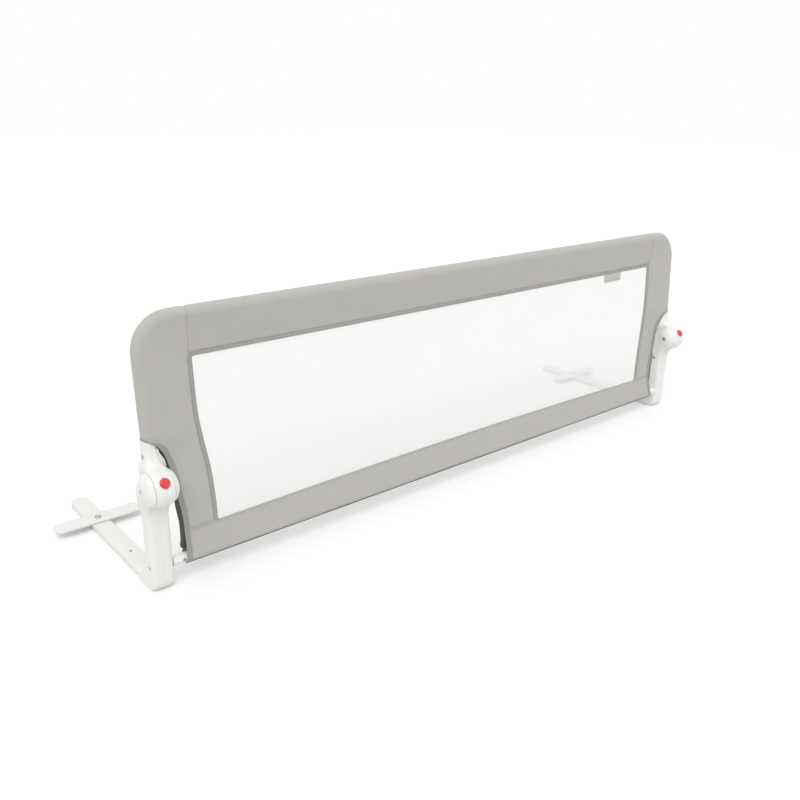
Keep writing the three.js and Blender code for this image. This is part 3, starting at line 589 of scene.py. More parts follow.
@dataclass
class Leg:
    """The leg housing: column, flared fork and toe, in two moulded shells."""

    plan: Plan
    fasteners: Fasteners
    half: float = 20.5
    front: float = -10
    back: float = 22
    corner: float = 9
    foot_round: float = 18
    flare_start: float = 138
    flare_end: float = 192
    flare_front: float = -42
    flare_half: float = 29
    flare_corner: float = 18
    flare_power: float = 2.2
    shoulder_top: float = 226
    shoulder_half: float = 24
    shoulder_front: float = -30
    shoulder_back: float = 8
    hub_half: float = 31.5
    hub_radius: float = 33
    hub_power: float = 2.6
    slot_half: float = 17.4
    crotch: float = 39.5
    stop_z: float = 190
    slot_foot: float = 106
    slot_top: float = 304
    toe: float = 58
    toe_root: float = 6
    toe_height: float = 18
    gusset: float = 48
    gusset_round: float = 14
    screw: Pair = (9, 143)
    screw_size: ScrewSize = ScrewSize(4, 31.5)
    tube_screw: Pair = (2, 46)
    tube_screw_size: ScrewSize = ScrewSize(4, 52)
    screw_sink: float = 1
    bolt_size: ScrewSize = ScrewSize(4.6, 58.3, 3)
    pivot_head: float = 29
    pivot_bore: float = 3.4
    bolt_sink: Pair = (4.9, 4.3)
    nut_sink: Pair = (5.5, 4.8)
    arm_low: Triple = (-18.3, 11, -1)
    arm_high: Triple = (18.3, 59, 12.3)
    arm_screw: Pair = (9, 35)
    arm_screw_bore: float = 2.3
    arm_screw_depth: Pair = (5, 17)
    voxel: float = 1.1
    seam: float = 0.08

    def sections(self) -> list[Section]:
        """Return the column's slices from the foot to the shoulders."""
        rings = []
        for share in shares(6):
            angle = share * math.pi / 2
            inset = self.foot_round * (1 - math.sin(angle))
            height = self.foot_round * (1 - math.cos(angle))
            rings.append((height, self.half, self.front + inset, self.back, self.corner))
        for share in shares(10):
            rings.append((
                between(self.flare_start, self.flare_end, share),
                between(self.half, self.flare_half, eased(share)),
                between(self.front, self.flare_front, share**self.flare_power),
                self.back,
                between(self.corner, self.flare_corner, share),
            ))
        for share in shares(6)[1:]:
            rings.append((
                between(self.flare_end, self.shoulder_top, share),
                between(self.flare_half, self.shoulder_half, share**2),
                between(self.flare_front, self.shoulder_front, share),
                between(self.back, self.shoulder_back, share**2),
                self.flare_corner,
            ))
        return [
            Section(z, -half, half, front, back, corner) for z, half, front, back, corner in rings
        ]

    def barrel(self) -> Piece:
        """Spin the hub's full, rounded barrel on the pivot."""
        profile = []
        for share in shares(28):
            turn, power = share * math.pi, 2 / self.hub_power
            bulge, along = math.sin(turn) ** power, squared(-math.cos(turn), power)
            profile.append((self.hub_radius * bulge, self.hub_half * along))
        profile[0] = (0, profile[0][1])
        profile[-1] = (0, profile[-1][1])
        barrel = Bench.spun("barrel", profile, OUTWARD, 72)
        return moved(barrel, Matrix.Translation(at(0, *self.plan.pivot)))

    def toe_block(self) -> Piece:
        """Draw the toe and its gusset from the side, and extrude them."""
        root = self.back - self.toe_root
        side = [(root, 0), (self.toe, 0), (self.toe, self.toe_height)]
        for share in shares(10)[1:]:
            a, b, c = (1 - share) ** 2, 2 * share * (1 - share), share**2
            y = a * self.toe + b * (self.back + self.gusset_round) + c * self.back
            side.append((y, (a + b) * self.toe_height + c * self.gusset))
        side.append((root, self.gusset))
        outline = [at(-self.half, y, z) for y, z in side]
        return Bench.prism("toe", outline, at(2 * self.half, 0, 0))

    def pivot_ends(self) -> tuple[Vector, Vector]:
        """Return two points on the pivot's axis, clear of the hub."""
        far = 60
        return at(-far, *self.plan.pivot), at(far, *self.plan.pivot)

    @property
    def screw_reach(self) -> float:
        """Return how far from the leg's middle its screws' heads lie."""
        return self.half - self.screw_sink

    def slotted(self, body: Piece) -> None:
        """Clear the way between the cheeks for the knuckle and the folded neck."""
        plan, half, far = self.plan, self.slot_half, 99
        drop = self.front - plan.pivot_y
        foot = -90 + math.degrees(math.asin(drop / self.crotch))
        heel = math.degrees(math.asin((self.stop_z - plan.pivot_z) / self.crotch))
        round_way = arc(plan.pivot, self.crotch, foot, heel, 40)
        below = [(-far, self.slot_foot), (self.front, self.slot_foot)]
        behind = [(far, self.stop_z), (far, self.slot_top), (-far, self.slot_top)]
        outline = [at(-half, y, z) for y, z in (*below, *round_way, *behind)]
        Bench.combine(body, Cut.TAKE, Bench.prism("slot", outline, at(2 * half, 0, 0)))

    def drilled(self, body: Piece) -> None:
        """Sink the holes for the screws, the pivot, the nut and the arm."""
        pivot, kit, reach = self.plan.pivot, self.fasteners, self.screw_reach
        screw = moved(kit.hole(self.screw_size), facing(-OUTWARD, at(-reach, *self.screw)))
        tube = moved(kit.hole(self.tube_screw_size), facing(OUTWARD, at(reach, *self.tube_screw)))
        start, end = self.pivot_ends()
        bolt = Bench.rod("bolt", self.pivot_bore, start, end)
        (head_radius, head_depth), (nut_radius, nut_depth) = self.bolt_sink, self.nut_sink
        head = Bench.rod("head", head_radius, at(self.pivot_head - head_depth, *pivot), end)
        nut = Bench.rod("nut", nut_radius, start, at(nut_depth - self.pivot_head, *pivot))
        socket = Bench.box("socket", at(*self.arm_low), at(*self.arm_high))
        thread = (at(*self.arm_screw, z) for z in self.arm_screw_depth)
        arm_screw = Bench.rod("arm screw", self.arm_screw_bore, *thread)
        Bench.combine(body, Cut.TAKE, screw, tube, bolt, head, nut, socket, arm_screw)

    def build(self) -> dict[str, Piece]:
        """Model the housing and split it along its parting line.

        Returns:
            The outer and inner shells in the end's own frame, by name.
        """
        body = Bench.column("leg", self.sections())
        Bench.merged(body, self.barrel(), self.toe_block())
        Bench.moulded(body, self.voxel, 10)
        self.slotted(body)
        Bench.moulded(body, 0.9 * self.voxel, 3)
        Bench.thinned(body, SHELL_SHARE)
        self.drilled(body)
        return Bench.halved(body, "leg", self.seam)


@dataclass
class Knuckle:
    """The guard's knuckle and neck, in two moulded shells, with its release button."""

    plan: Plan
    leg: Leg
    fasteners: Fasteners
    half: float = 17
    back: float = 25.5
    corner: float = 12
    neck_gap: Pair = (4.2, 2.2)
    gap_close: Pair = (58, 12)
    shape: tuple[tuple[float, float, float, float], ...] = (
        (190.3, -10, 17, 17), (205, -20, 17, 17), (229.75, -31.9, 17, 17),
        (236.35, -25, 16.4, 16.7), (239.65, -17.4, 14.9, 15.95), (242.95, -12, 13.4, 15.2),
        (246.9, -8.2, 12.3, 14.7), (252.85, -5.6, 11.5, 14.2), (262, -4, 11, 14), (285, -4, 11, 14),
    )  # fmt: skip
    wing: tuple[Triple, ...] = (
        (223, 9.5, 30), (227, 7, 30), (232, 4.5, 30),
        (239.5, 2.5, 30), (250, 2.5, 30), (285, 3, 30),
    )
    wing_back: float = 23.9
    wing_corner: float = 1.5
    socket: Triple = (11.3, 21, 205)
    screw: Pair = (8, 253)
    screw_head: float = 11.2
    screw_size: ScrewSize = ScrewSize(4, 27.6)
    port: Triple = (3.3, -60, -15.6)
    elevation: float = math.radians(34)
    button: float = 8.7
    button_top: float = 37
    collar: float = 10
    collar_top: float = 26.6
    bore: Triple = (9, 26, 60)
    collar_bore: Triple = (10.3, 12.3, 26.9)
    bar_slot: Triple = (20.7, 8.6, 5.2)
    notch: float = 1.6
    notch_height: float = 31.8
    spring: Pair = (9.3, 16.3)
    spring_radius: float = 4.8
    spring_wire: float = 0.55
    spring_turns: float = 2.5
    spring_pressed: float = 3.0
    voxel: float = 0.85

    @property
    def axis(self) -> Vector:
        """Return the way that the button faces."""
        return Vector((0, -math.cos(self.elevation), math.sin(self.elevation)))

    def along(self, distance: float) -> Vector:
        """Return a point on the button's axis, a distance from the pivot."""
        return at(0, *self.plan.pivot) + self.axis * distance * MM

    def top_space(self) -> Piece:
        """Draw the space outside the cover's cut-out, to trim the neck with."""
        start, room = self.gap_close
        line = []
        for wide, tight in zip(*(self.plan.cutout_line(gap) for gap in self.neck_gap)):
            share = eased((wide[1] - start) / room)
            line.append(tuple(between(a, b, share) for a, b in zip(wide, tight)))
        pivot, far = self.plan.pivot_z, 200
        foot, head = line[0], line[-1]
        ring = [*line, (far, head[1]), (far, -far), (foot[0], -far)]
        outline = [at(x, -far / 2, pivot + s) for x, s in ring]
        return Bench.prism("space", outline, at(0, far, 0))

    def drilled(self, body: Piece) -> None:
        """Sink the tube's socket, the button's bore, the pivot and the screw."""
        plan = self.plan
        lean = Vector((0, math.sin(plan.upper_lean), math.cos(plan.upper_lean)))
        base = at(plan.tube_x, plan.plane_y, plan.pivot_z)
        radius, foot, top = self.socket
        socket = Bench.rod("socket", radius, base + lean * foot * MM, base + lean * top * MM, 64)
        radius, foot, top = self.bore
        bore = Bench.rod("bore", radius, self.along(foot), self.along(top), 64)
        radius, foot, top = self.collar_bore
        collar = Bench.rod("collar", radius, self.along(foot), self.along(top), 64)
        pivot = Bench.rod("pivot", self.leg.pivot_bore, *self.leg.pivot_ends())
        place = facing(OUTWARD, at(self.screw_head, *self.screw))
        screw = moved(self.fasteners.hole(self.screw_size), place)
        radius, start, end = self.port
        port = Bench.rod("port", radius, at(start, *self.screw), at(end, *self.screw))
        Bench.combine(body, Cut.TAKE, socket, bore, collar, pivot, screw, port)
        across, corner = OUTWARD.cross(self.axis), Vector((1, 1, 1)) * self.notch * MM
        for way in (across, -across):
            rim = self.along(self.notch_height) + way * self.button * MM
            Bench.combine(body, Cut.TAKE, Bench.box("notch", rim - corner, rim + corner))

    def build(self) -> dict[str, Piece]:
        """Model the knuckle and neck, trim them to the cover and split them.

        Returns:
            The outer and inner shells in the end's own frame, by name.
        """
        ways = [spline([(row[0], row[k]) for row in self.shape], 4) for k in (1, 2, 3)]
        neck = [
            Section(z, -inner, outer, front, self.back, self.corner)
            for (z, front), (_, outer), (_, inner) in zip(*ways)
        ]
        body = Bench.column("knuckle", neck)
        wing = [
            Section(z, -reach, 0, front, self.wing_back, self.wing_corner)
            for z, front, reach in self.wing
        ]
        disc, far = self.leg.barrel(), 200
        slab = Bench.box("slab", at(-self.half, -far, 0), at(self.half, far, 2 * far))
        Bench.combine(disc, Cut.KEEP, slab)
        Bench.merged(body, Bench.column("wing", wing), disc)
        Bench.moulded(body, self.voxel, 8)
        Bench.combine(body, Cut.KEEP, self.top_space())
        Bench.moulded(body, 0.9 * self.voxel, 3)
        Bench.thinned(body, SHELL_SHARE)
        self.drilled(body)
        return Bench.halved(body, "knuckle", self.leg.seam)

    def build_button(self) -> Piece:
        """Turn the domed release button on its collar.

        Returns:
            The button in the end's own frame.
        """
        r, top, collar_top = self.button, self.button_top, self.collar_top
        profile = [
            (0, 16.6), (6.6, 16.6), (6.6, 24.2), (self.collar, 24.2), (self.collar, collar_top),
            (r, collar_top), (r, top - 2.6), (0.975 * r, top - 1.9), (0.9 * r, top - 1.25),
            (0.76 * r, top - 0.72), (0.55 * r, top - 0.32), (0.3 * r, top - 0.08), (0, top),
        ]  # fmt: skip
        piece = Bench.spun("release_button", profile, UP, 64)
        moved(piece, facing(self.axis, self.along(0)))
        reach, (height, wide, tall) = 40, self.bar_slot
        slot = Bench.started(
            "slot",
            bpy.ops.mesh.primitive_cube_add,
            size=1,
            location=self.along(height),
            rotation=self.axis.to_track_quat("Z", "Y").to_euler(),
            scale=(reach * MM, wide * MM, tall * MM),
        )
        Bench.combine(piece, Cut.TAKE, slot)
        return Bench.shaded(piece, 30)

    def build_spring(self) -> Piece:
        """Coil the button's spring.

        Returns:
            The spring in the end's own frame.
        """
        foot, top = self.spring
        piece = Bench.started(
            "button_spring",
            bpy.ops.mesh.primitive_circle_add,
            vertices=10,
            radius=self.spring_wire * MM,
            location=at(self.spring_radius, 0, foot + self.spring_wire),
            rotation=(math.pi / 2, 0, 0),
        )
        rise = top - foot - 2 * self.spring_wire
        angle, steps = 2 * math.pi * self.spring_turns, round(24 * self.spring_turns)
        counts = {"iterations": 1, "steps": steps, "render_steps": steps}
        Bench.modify(piece, "SCREW", axis="Z", angle=angle, screw_offset=rise * MM, **counts)
        Bench.capped(piece)
        Bench.shaded(piece, 50)
        return moved(piece, facing(self.axis, self.along(0)))

    def press_spring(self, piece: Piece, side: Side) -> None:
        """Give a placed spring a mesh of its own; nothing makes it shorten as its button goes in.
        """
        foot, top = self.spring
        anchor = self.plan.end(side) @ self.along(foot)
        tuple(self.axis)
        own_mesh(piece)


@dataclass
class Arm:
    """The arm under the mattress: a pressed channel with a pad and a swivelling cross bar."""

    half: float = 18
    height: float = 12
    wall: float = 2
    bend: float = 2.6
    front: float = 11.3
    reach: float = 412
    hole: Pair = (137, 3)
    rivet: float = 294
    rivet_hole: Pair = (4.3, 4.4)
    rivet_head: Triple = (5.2, 6.2, 2.4)
    screw: Pair = (9, 35)
    screw_hole: float = 2.3
    screw_size: ScrewSize = ScrewSize(4, 9.3)
    screw_top: float = 7.1
    pad_long: float = 50
    pad_top: float = 9.7
    bar: Triple = (172, 38, 4.5)
    bar_foot: float = 12.3
    bar_corner: float = 13

    def outline(self, inset: float, front: float) -> list[Vector]:
        """Return the arm's outline from above, with its round end."""
        half = self.half - inset
        middle = self.reach - self.half
        round_end = arc((0, middle), half, 0, 180, 24)
        return [at(-half, front, 0), at(half, front, 0), *(at(x, y, 0) for x, y in round_end)]

    def channel(self) -> Piece:
        """Press the channel from one sheet, with rounded bends, and drill it.

        Returns:
            The arm in the end's own frame.
        """
        piece = Bench.prism("base_arm", self.outline(0, self.front), at(0, 0, self.height))
        top, front = self.height * MM, self.front * MM
        with Bench.editing(piece, "EDGE") as mesh:
            def bent(edge: bmesh.types.BMEdge) -> bool:
                """Tell the top's bent edges from the rest."""
                ends = [v.co for v in edge.verts]
                flush = all(abs(end.y - front) < 1e-5 for end in ends)
                return all(end.z > top - 1e-5 for end in ends) and not flush
            Bench.pick(mesh, mesh.edges, bent)
            bpy.ops.mesh.bevel(offset=self.bend * MM, segments=5, profile=0.5)
        with Bench.editing(piece) as mesh:
            def open_side(face: bmesh.types.BMFace) -> bool:
                """Tell the open underside and front from the sheet."""
                middle = face.calc_center_median()
                return middle.z < 1e-5 or abs(middle.y - front) < 1e-5
            Bench.pick(mesh, mesh.faces, open_side)
            bpy.ops.mesh.delete(type="FACE")
        wall = self.wall * MM
        Bench.modify(piece, "SOLIDIFY", thickness=wall, offset=-1, use_even_offset=True)
        holes = (0, *self.hole), (0, self.rivet, self.rivet_hole[0]), (*self.screw, self.screw_hole)
        for x, y, radius in holes:
            drill = Bench.rod("drill", radius, at(x, y, 1), at(x, y, 30), 40)
            Bench.combine(piece, Cut.TAKE, drill)
        return Bench.shaded(piece)

    def pad(self) -> Piece:
        """Mould the rubber pad inside the arm's end.

        Returns:
            The pad in the end's own frame.
        """
        outline = self.outline(self.wall + 0.3, self.reach - self.pad_long)
        piece = Bench.prism("arm_pad", outline, at(0, 0, self.pad_top))
        Bench.modify(piece, "BEVEL", width=0.9 * MM, segments=3, limit_method="ANGLE")
        return Bench.shaded(piece)

    def cross_bar(self) -> Piece:
        """Cut the flat cross bar, with rounded corners and softened edges.

        Returns:
            The bar in the end's own frame.
        """
        long, wide, thick = self.bar
        piece = Bench.started(
            "cross_bar",
            bpy.ops.mesh.primitive_cube_add,
            size=1,
            location=at(0, self.rivet, self.bar_foot + thick / 2),
            scale=at(long, wide, thick),
        )
        with Bench.editing(piece, "EDGE") as mesh:
            def upright(edge: bmesh.types.BMEdge) -> bool:
                """Tell the bar's upright edges from the rest."""
                return abs(edge.verts[0].co.z - edge.verts[1].co.z) > thick * MM / 2
            Bench.pick(mesh, mesh.edges, upright)
            bpy.ops.mesh.bevel(offset=self.bar_corner * MM, segments=10)
        soft = {"width": 1.1 * MM, "segments": 3, "limit_method": "ANGLE", "angle_limit": 0.8}
        Bench.modify(piece, "BEVEL", **soft)
        ends = at(0, self.rivet, 5), at(0, self.rivet, 30)
        drill = Bench.rod("drill", self.rivet_hole[1], *ends, 40)
        Bench.combine(piece, Cut.TAKE, drill)
        return Bench.shaded(piece)

    def cross_bar_rivet(self) -> Piece:
        """Turn the rivet that the cross bar swivels on.

        Returns:
            The rivet in the end's own frame.
        """
        under, over = self.height - self.wall - 0.3, self.bar_foot + self.bar[2] + 0.3
        inner, outer, tall = self.rivet_head
        profile = [
            (0, under - tall), (inner, under - tall), (outer, under - 1.6), (outer, under),
            (4, under), (4, over), (outer, over), (outer, over + 0.5), (5.9, over + 1.1),
            (5.1, over + 1.65),
            (3.9, over + 2.1), (2.2, over + 2.35), (0, over + tall),
        ]  # fmt: skip
        piece = Bench.spun("cross_bar_rivet", profile, UP, 40)
        return Bench.shaded(moved(piece, Matrix.Translation(at(0, self.rivet, 0))))


@dataclass
class LowTubePlug:
    """The turned plug between the lower tube and the leg."""

    fasteners: Fasteners
    y: float = 2
    z: float = 46
    radius: float = 9.5
    face: float = -20.8
    shoulder: float = -46.7
    tip: float = -67
    stem: float = 8
    lip: float = 0.7
    screw_size: ScrewSize = ScrewSize(3, 9.6)
    hole_size: ScrewSize = ScrewSize(3, 8.4)
    screw_back: float = 20
    screw_sink: float = 1.3

    def build(self) -> Piece:
        """Turn the plug with softened shoulders and a lip, and sink its screw's hole.

        Returns:
            The plug in the end's own frame.
        """
        r, stem, lip = self.radius, self.stem, self.lip
        profile = [
            (0, self.tip), (stem - 1, self.tip), (stem, self.tip + 1), (stem, self.shoulder),
            (r - lip, self.shoulder), (r, self.shoulder + lip), (r, self.face - lip),
            (r - lip, self.face), (0, self.face),
        ]  # fmt: skip
        piece = Bench.spun("lower_tube_plug", profile, OUTWARD, 56)
        moved(piece, Matrix.Translation(at(0, self.y, self.z)))
        hole = moved(self.fasteners.hole(self.hole_size), facing(FORWARD, self.screw_spot()))
        Bench.combine(piece, Cut.TAKE, hole)
        return Bench.shaded(piece)

    def screw_spot(self) -> Vector:
        """Return where the top of the plug's screw lies, sunk in its front."""
        y = self.y - self.radius - self.screw_sink
        return at(self.face - self.screw_back, y, self.z)


@dataclass
class Ends:
    """Both ends of the rail, each piece modelled once and copied to either side."""

    plan: Plan
    made: dict[str, Material]
    fasteners: Fasteners = field(default_factory=Fasteners)
    arm: Arm = field(default_factory=Arm)

    def __post_init__(self) -> None:
        """Plan the sub-assemblies that share the plan and the fasteners."""
        self.leg = Leg(self.plan, self.fasteners)
        self.knuckle = Knuckle(self.plan, self.leg, self.fasteners)
        self.plug = LowTubePlug(self.fasteners)

    def fastenings(self) -> dict[str, Piece]:
        """Place the screws, the pivot's bolt and its nut.

        Returns:
            The fasteners in the end's own frame, by name.
        """
        leg, knuckle, arm, reach = self.leg, self.knuckle, self.arm, self.leg.screw_reach
        places = {
            "leg_screw": (leg.screw_size, -OUTWARD, at(-reach, *leg.screw)),
            "lower_tube_screw": (leg.tube_screw_size, OUTWARD, at(reach, *leg.tube_screw)),
            "neck_screw": (knuckle.screw_size, OUTWARD, at(knuckle.screw_head, *knuckle.screw)),
            "pivot_bolt": (leg.bolt_size, OUTWARD, at(leg.pivot_head, *self.plan.pivot)),
            "arm_screw": (arm.screw_size, -UP, at(*arm.screw, arm.screw_top)),
            "plug_screw": (self.plug.screw_size, FORWARD, self.plug.screw_spot()),
        }
        made = {
            name: moved(self.fasteners.screw(name, size), facing(way, spot))
            for name, (size, way, spot) in places.items()
        }
        made["pivot_nut"] = self.nut()
        return made

    def nut(self) -> Piece:
        """Cut the pivot's hexagonal nut, its corners turned off."""
        wide, half, bore = 5.2, 2.25, 3.3
        name, add = "pivot_nut", bpy.ops.mesh.primitive_cylinder_add
        piece = Bench.started(name, add, vertices=6, radius=wide * MM, depth=2 * half * MM)
        turned = [(0, -half), (4.55, -half), (5.3, -1.75), (5.3, 1.75), (4.55, half), (0, half)]
        Bench.combine(piece, Cut.KEEP, Bench.spun("ring", turned, UP, 48))
        Bench.combine(piece, Cut.TAKE, Bench.rod("bore", bore, at(0, 0, -5), at(0, 0, 5), 32))
        spot = at(half - self.leg.pivot_head, *self.plan.pivot)
        return Bench.shaded(moved(piece, facing(-OUTWARD, spot)))

    def build(self) -> None:
        """Model every rigid piece of an end, and place it at both ends."""
        made = {**self.leg.build(), **self.knuckle.build(), **self.fastenings()}
        for piece in (
            self.knuckle.build_button(),
            self.knuckle.build_spring(),
            self.arm.channel(),
            self.arm.pad(),
            self.arm.cross_bar(),
            self.arm.cross_bar_rivet(),
            self.plug.build(),
        ):
            made[piece.name] = piece
        for name, piece in made.items():
            for side in Side:
                node = f"{side.word}_{name}"
                copy = Bench.copied(piece, f"{node}_shaped", self.plan.end(side))
                slot = PIECE_SLOTS.get(name, "white_plastic")
                dressed(copy, self.made[slot], slot, (node,))
                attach(copy, frame["nodes"][node]["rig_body"])
                if name == "button_spring":
                    self.knuckle.press_spring(copy, side)
            bpy.data.meshes.remove(piece.data)


@dataclass
class Cloth:
    """Fabric drawn on the cover's folded plane.

    Its places are x along the rail, s up the plane and n towards the mattress, in millimetres.
    """

    plan: Plan
    wall: float = 1.0
    hem_half: float = 1.4
    sleeve: float = 13.4
    hem_roll: float = 11.5
    fold_start: Vector = field(default_factory=lambda: Vector((0, -0.171, 0.155)))
    fold_end: Vector = field(default_factory=lambda: Vector((0, -0.171, 0.255)))

    def spot(self, x: float, s: float, n: float) -> Vector:
        """Return the point in the rail's frame, in metres, for a place on the cover."""
        plan = self.plan
        share = eased((s + plan.lean_blend) / (2 * plan.lean_blend))
        lean = between(plan.lower_lean, plan.upper_lean, share)
        y = plan.shift_y + plan.plane_y + n * math.cos(lean) + s * math.sin(lean)
        return at(x, y, plan.pivot_z - n * math.sin(lean) + s * math.cos(lean))

    @staticmethod
    def ripple(x: float, s: float, pitch: float, height: float, layer: float) -> float:
        """Return a soft, repeatable wave in the cloth at a place."""
        return height * noise.noise(Vector((x / pitch, s / pitch, layer)))

    def grid(self, name: str, rows: Sequence[Sequence[Place]], close: bool = False) -> Piece:
        """Weave rows of places into a sheet with its own UV map in metres.

        Args:
            name: The sheet's name.
            rows: Rows of (x, s, n, u, v) in millimetres, each with as many places.
            close: Whether the last place of a row joins its first.

        Returns:
            The sheet, one layer thick.
        """
        wide = len(rows[0])
        points = [self.spot(*place[:3]) for row in rows for place in row]
        across = wide if close else wide - 1
        faces, corners = [], []
        for i in range(len(rows) - 1):
            for j in range(across):
                k = (j + 1) % wide
                faces.append((i * wide + j, (i + 1) * wide + j, (i + 1) * wide + k, i * wide + k))
                for a, b in ((i, j), (i + 1, j), (i + 1, j + 1), (i, j + 1)):
                    u, v = rows[a][b % wide][3:]
                    v += self.round_length(rows[a]) if b >= wide else 0
                    corners.append((u * MM, v * MM))
        piece = Bench.drawn(name, points, faces=faces)
        layer = piece.data.uv_layers.new(name="UVMap")
        for spot, corner in zip(layer.data, corners):
            spot.uv = corner
        return piece

    @staticmethod
    def round_length(row: Sequence[Place]) -> float:
        """Return how far v runs on from a closed row's last place to its first."""
        return row[-1][4] - row[0][4] + (row[-1][4] - row[-2][4])

    def sewn(self, piece: Piece, thickness: float | None = None) -> Piece:
        """Give a sheet its thickness, inwards, shade it smooth and return it."""
        wall = (thickness or self.wall) * MM
        Bench.modify(piece, "SOLIDIFY", thickness=wall, offset=-1, use_even_offset=False)
        return Bench.shaded(piece, 55)

    def folded(self, piece: Piece) -> None:
        """Bake a piece's place into its mesh; nothing makes it bend at the fold."""
        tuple(self.fold_start)
        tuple(self.fold_end)
        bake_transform(piece)


@dataclass
class Window:
    """The window's outline, as it is cut in the cover."""

    foot: float = -108
    head: float = 201
    bow: float = 7
    corner: float = 5
    long_steps: int = 170
    turn_steps: int = 8
    span_steps: int = 12
    side: tuple[Pair, ...] = (
        (635.5, -108), (636, -71), (641, -5), (650.5, 59), (655.5, 112.6), (656, 201),
    )  # fmt: skip

    def edge(self, grow: float) -> list[Pair]:
        """Return the outline's right side, from the foot's corner up to the head's, grown."""
        side = [(x + grow, s) for x, s in self.side]
        corner = self.corner + grow
        side[0] = (side[0][0], self.foot - grow + corner)
        side[-1] = (side[-1][0], self.head + grow - corner)
        return side

    def ring(self, grow: float) -> list[Pair]:
        """Return the whole outline as a closed ring, starting in the middle of its foot.

        Args:
            grow: How far the outline is moved outwards.

        Returns:
            Places (x, s), as many and in the same order for any growth.
        """
        corner, turn = self.corner + grow, self.turn_steps
        side = self.edge(grow)
        foot, head = self.foot - grow, self.head + grow
        low_x, top_x = side[0][0], side[-1][0]
        half, along = low_x - corner, shares(self.long_steps // 2)
        right = [(half * k, foot + self.bow * (1 - k * k)) for k in along[:-1]]
        right += self.quarter((half, foot), (low_x, foot), side[0], turn)[:-1]
        right += spline(side, self.span_steps)[:-1]
        right += self.quarter(side[-1], (top_x, head), (top_x - corner, head), turn)[:-1]
        right += [((top_x - corner) * (1 - k), head) for k in along]
        left = [(-x, s) for x, s in reversed(right[1:-1])]
        return right + left

    @staticmethod
    def quarter(start: Pair, middle: Pair, end: Pair, steps: int) -> list[Pair]:
        """Return a smooth turn from start to end, pulled towards middle."""
        line = []
        for t in shares(steps):
            a, b, c = (1 - t) ** 2, 2 * t * (1 - t), t * t
            line.append(tuple(a * p + b * q + c * r for p, q, r in zip(start, middle, end)))
        return line

    def right_line(self, grow: float) -> list[Pair]:
        """Return the ring's right half alone, from the foot's middle to the head's."""
        ring = self.ring(grow)
        return ring[: len(ring) // 2 + 1]


class Trail:
    """A line of places that can be walked by its length."""

    def __init__(self, points: Sequence[Pair]) -> None:
        """Measure the line through the places given, in order."""
        self.points = [Vector(p) for p in points]
        self.reach = [0.0]
        for a, b in zip(self.points, self.points[1:]):
            self.reach.append(self.reach[-1] + (b - a).length)

    @property
    def length(self) -> float:
        """Return the line's whole length."""
        return self.reach[-1]

    def at(self, distance: float) -> Vector:
        """Return the place that far along the line."""
        distance = max(0.0, min(self.length, distance))
        i = 1
        while i < len(self.reach) - 1 and self.reach[i] < distance:
            i += 1
        span = self.reach[i] - self.reach[i - 1]
        share = (distance - self.reach[i - 1]) / span if span else 0
        return self.points[i - 1].lerp(self.points[i], share)

    def way(self, distance: float) -> Vector:
        """Return the line's direction that far along it."""
        return (self.at(distance + 0.5) - self.at(distance - 0.5)).normalized()

    def nearest(self, target: Pair) -> float:
        """Return how far along the line its closest place to a target is."""
        spots = [self.length * share for share in shares(800)]
        return min(spots, key=lambda reach: (self.at(reach) - Vector(target)).length)


@dataclass
class Roll:
    """The cover's section from a sewn edge out to the tube: a flat run, then the round."""

    edge_half: float
    centre: float
    radius: float
    end: float | None = None

    def __post_init__(self) -> None:
        """Work out where the flat run meets the round."""
        reach = math.hypot(self.centre, self.edge_half)
        self.rise = math.atan2(-self.edge_half, self.centre) + math.asin(self.radius / reach)
        self.run = math.sqrt(reach**2 - self.radius**2)
        self.start = math.pi / 2 + self.rise
        full = self.run + self.radius * self.start
        far = self.centre + self.radius
        end = far if self.end is None else min(self.end, far)
        if end <= self.run * math.cos(self.rise):
            self.length = end / math.cos(self.rise)
        else:
            turn = math.acos(max(-1.0, min(1.0, (end - self.centre) / self.radius)))
            self.length = full - self.radius * turn

    def place(self, along: float, lift: float = 0) -> Pair:
        """Return the distance out and the depth, along the section and lifted off it."""
        if along <= self.run:
            out = along * math.cos(self.rise) - lift * math.sin(self.rise)
            return out, self.edge_half + along * math.sin(self.rise) + lift * math.cos(self.rise)
        turn = self.start - (along - self.run) / self.radius
        radius = self.radius + lift
        return self.centre + radius * math.cos(turn), radius * math.sin(turn)


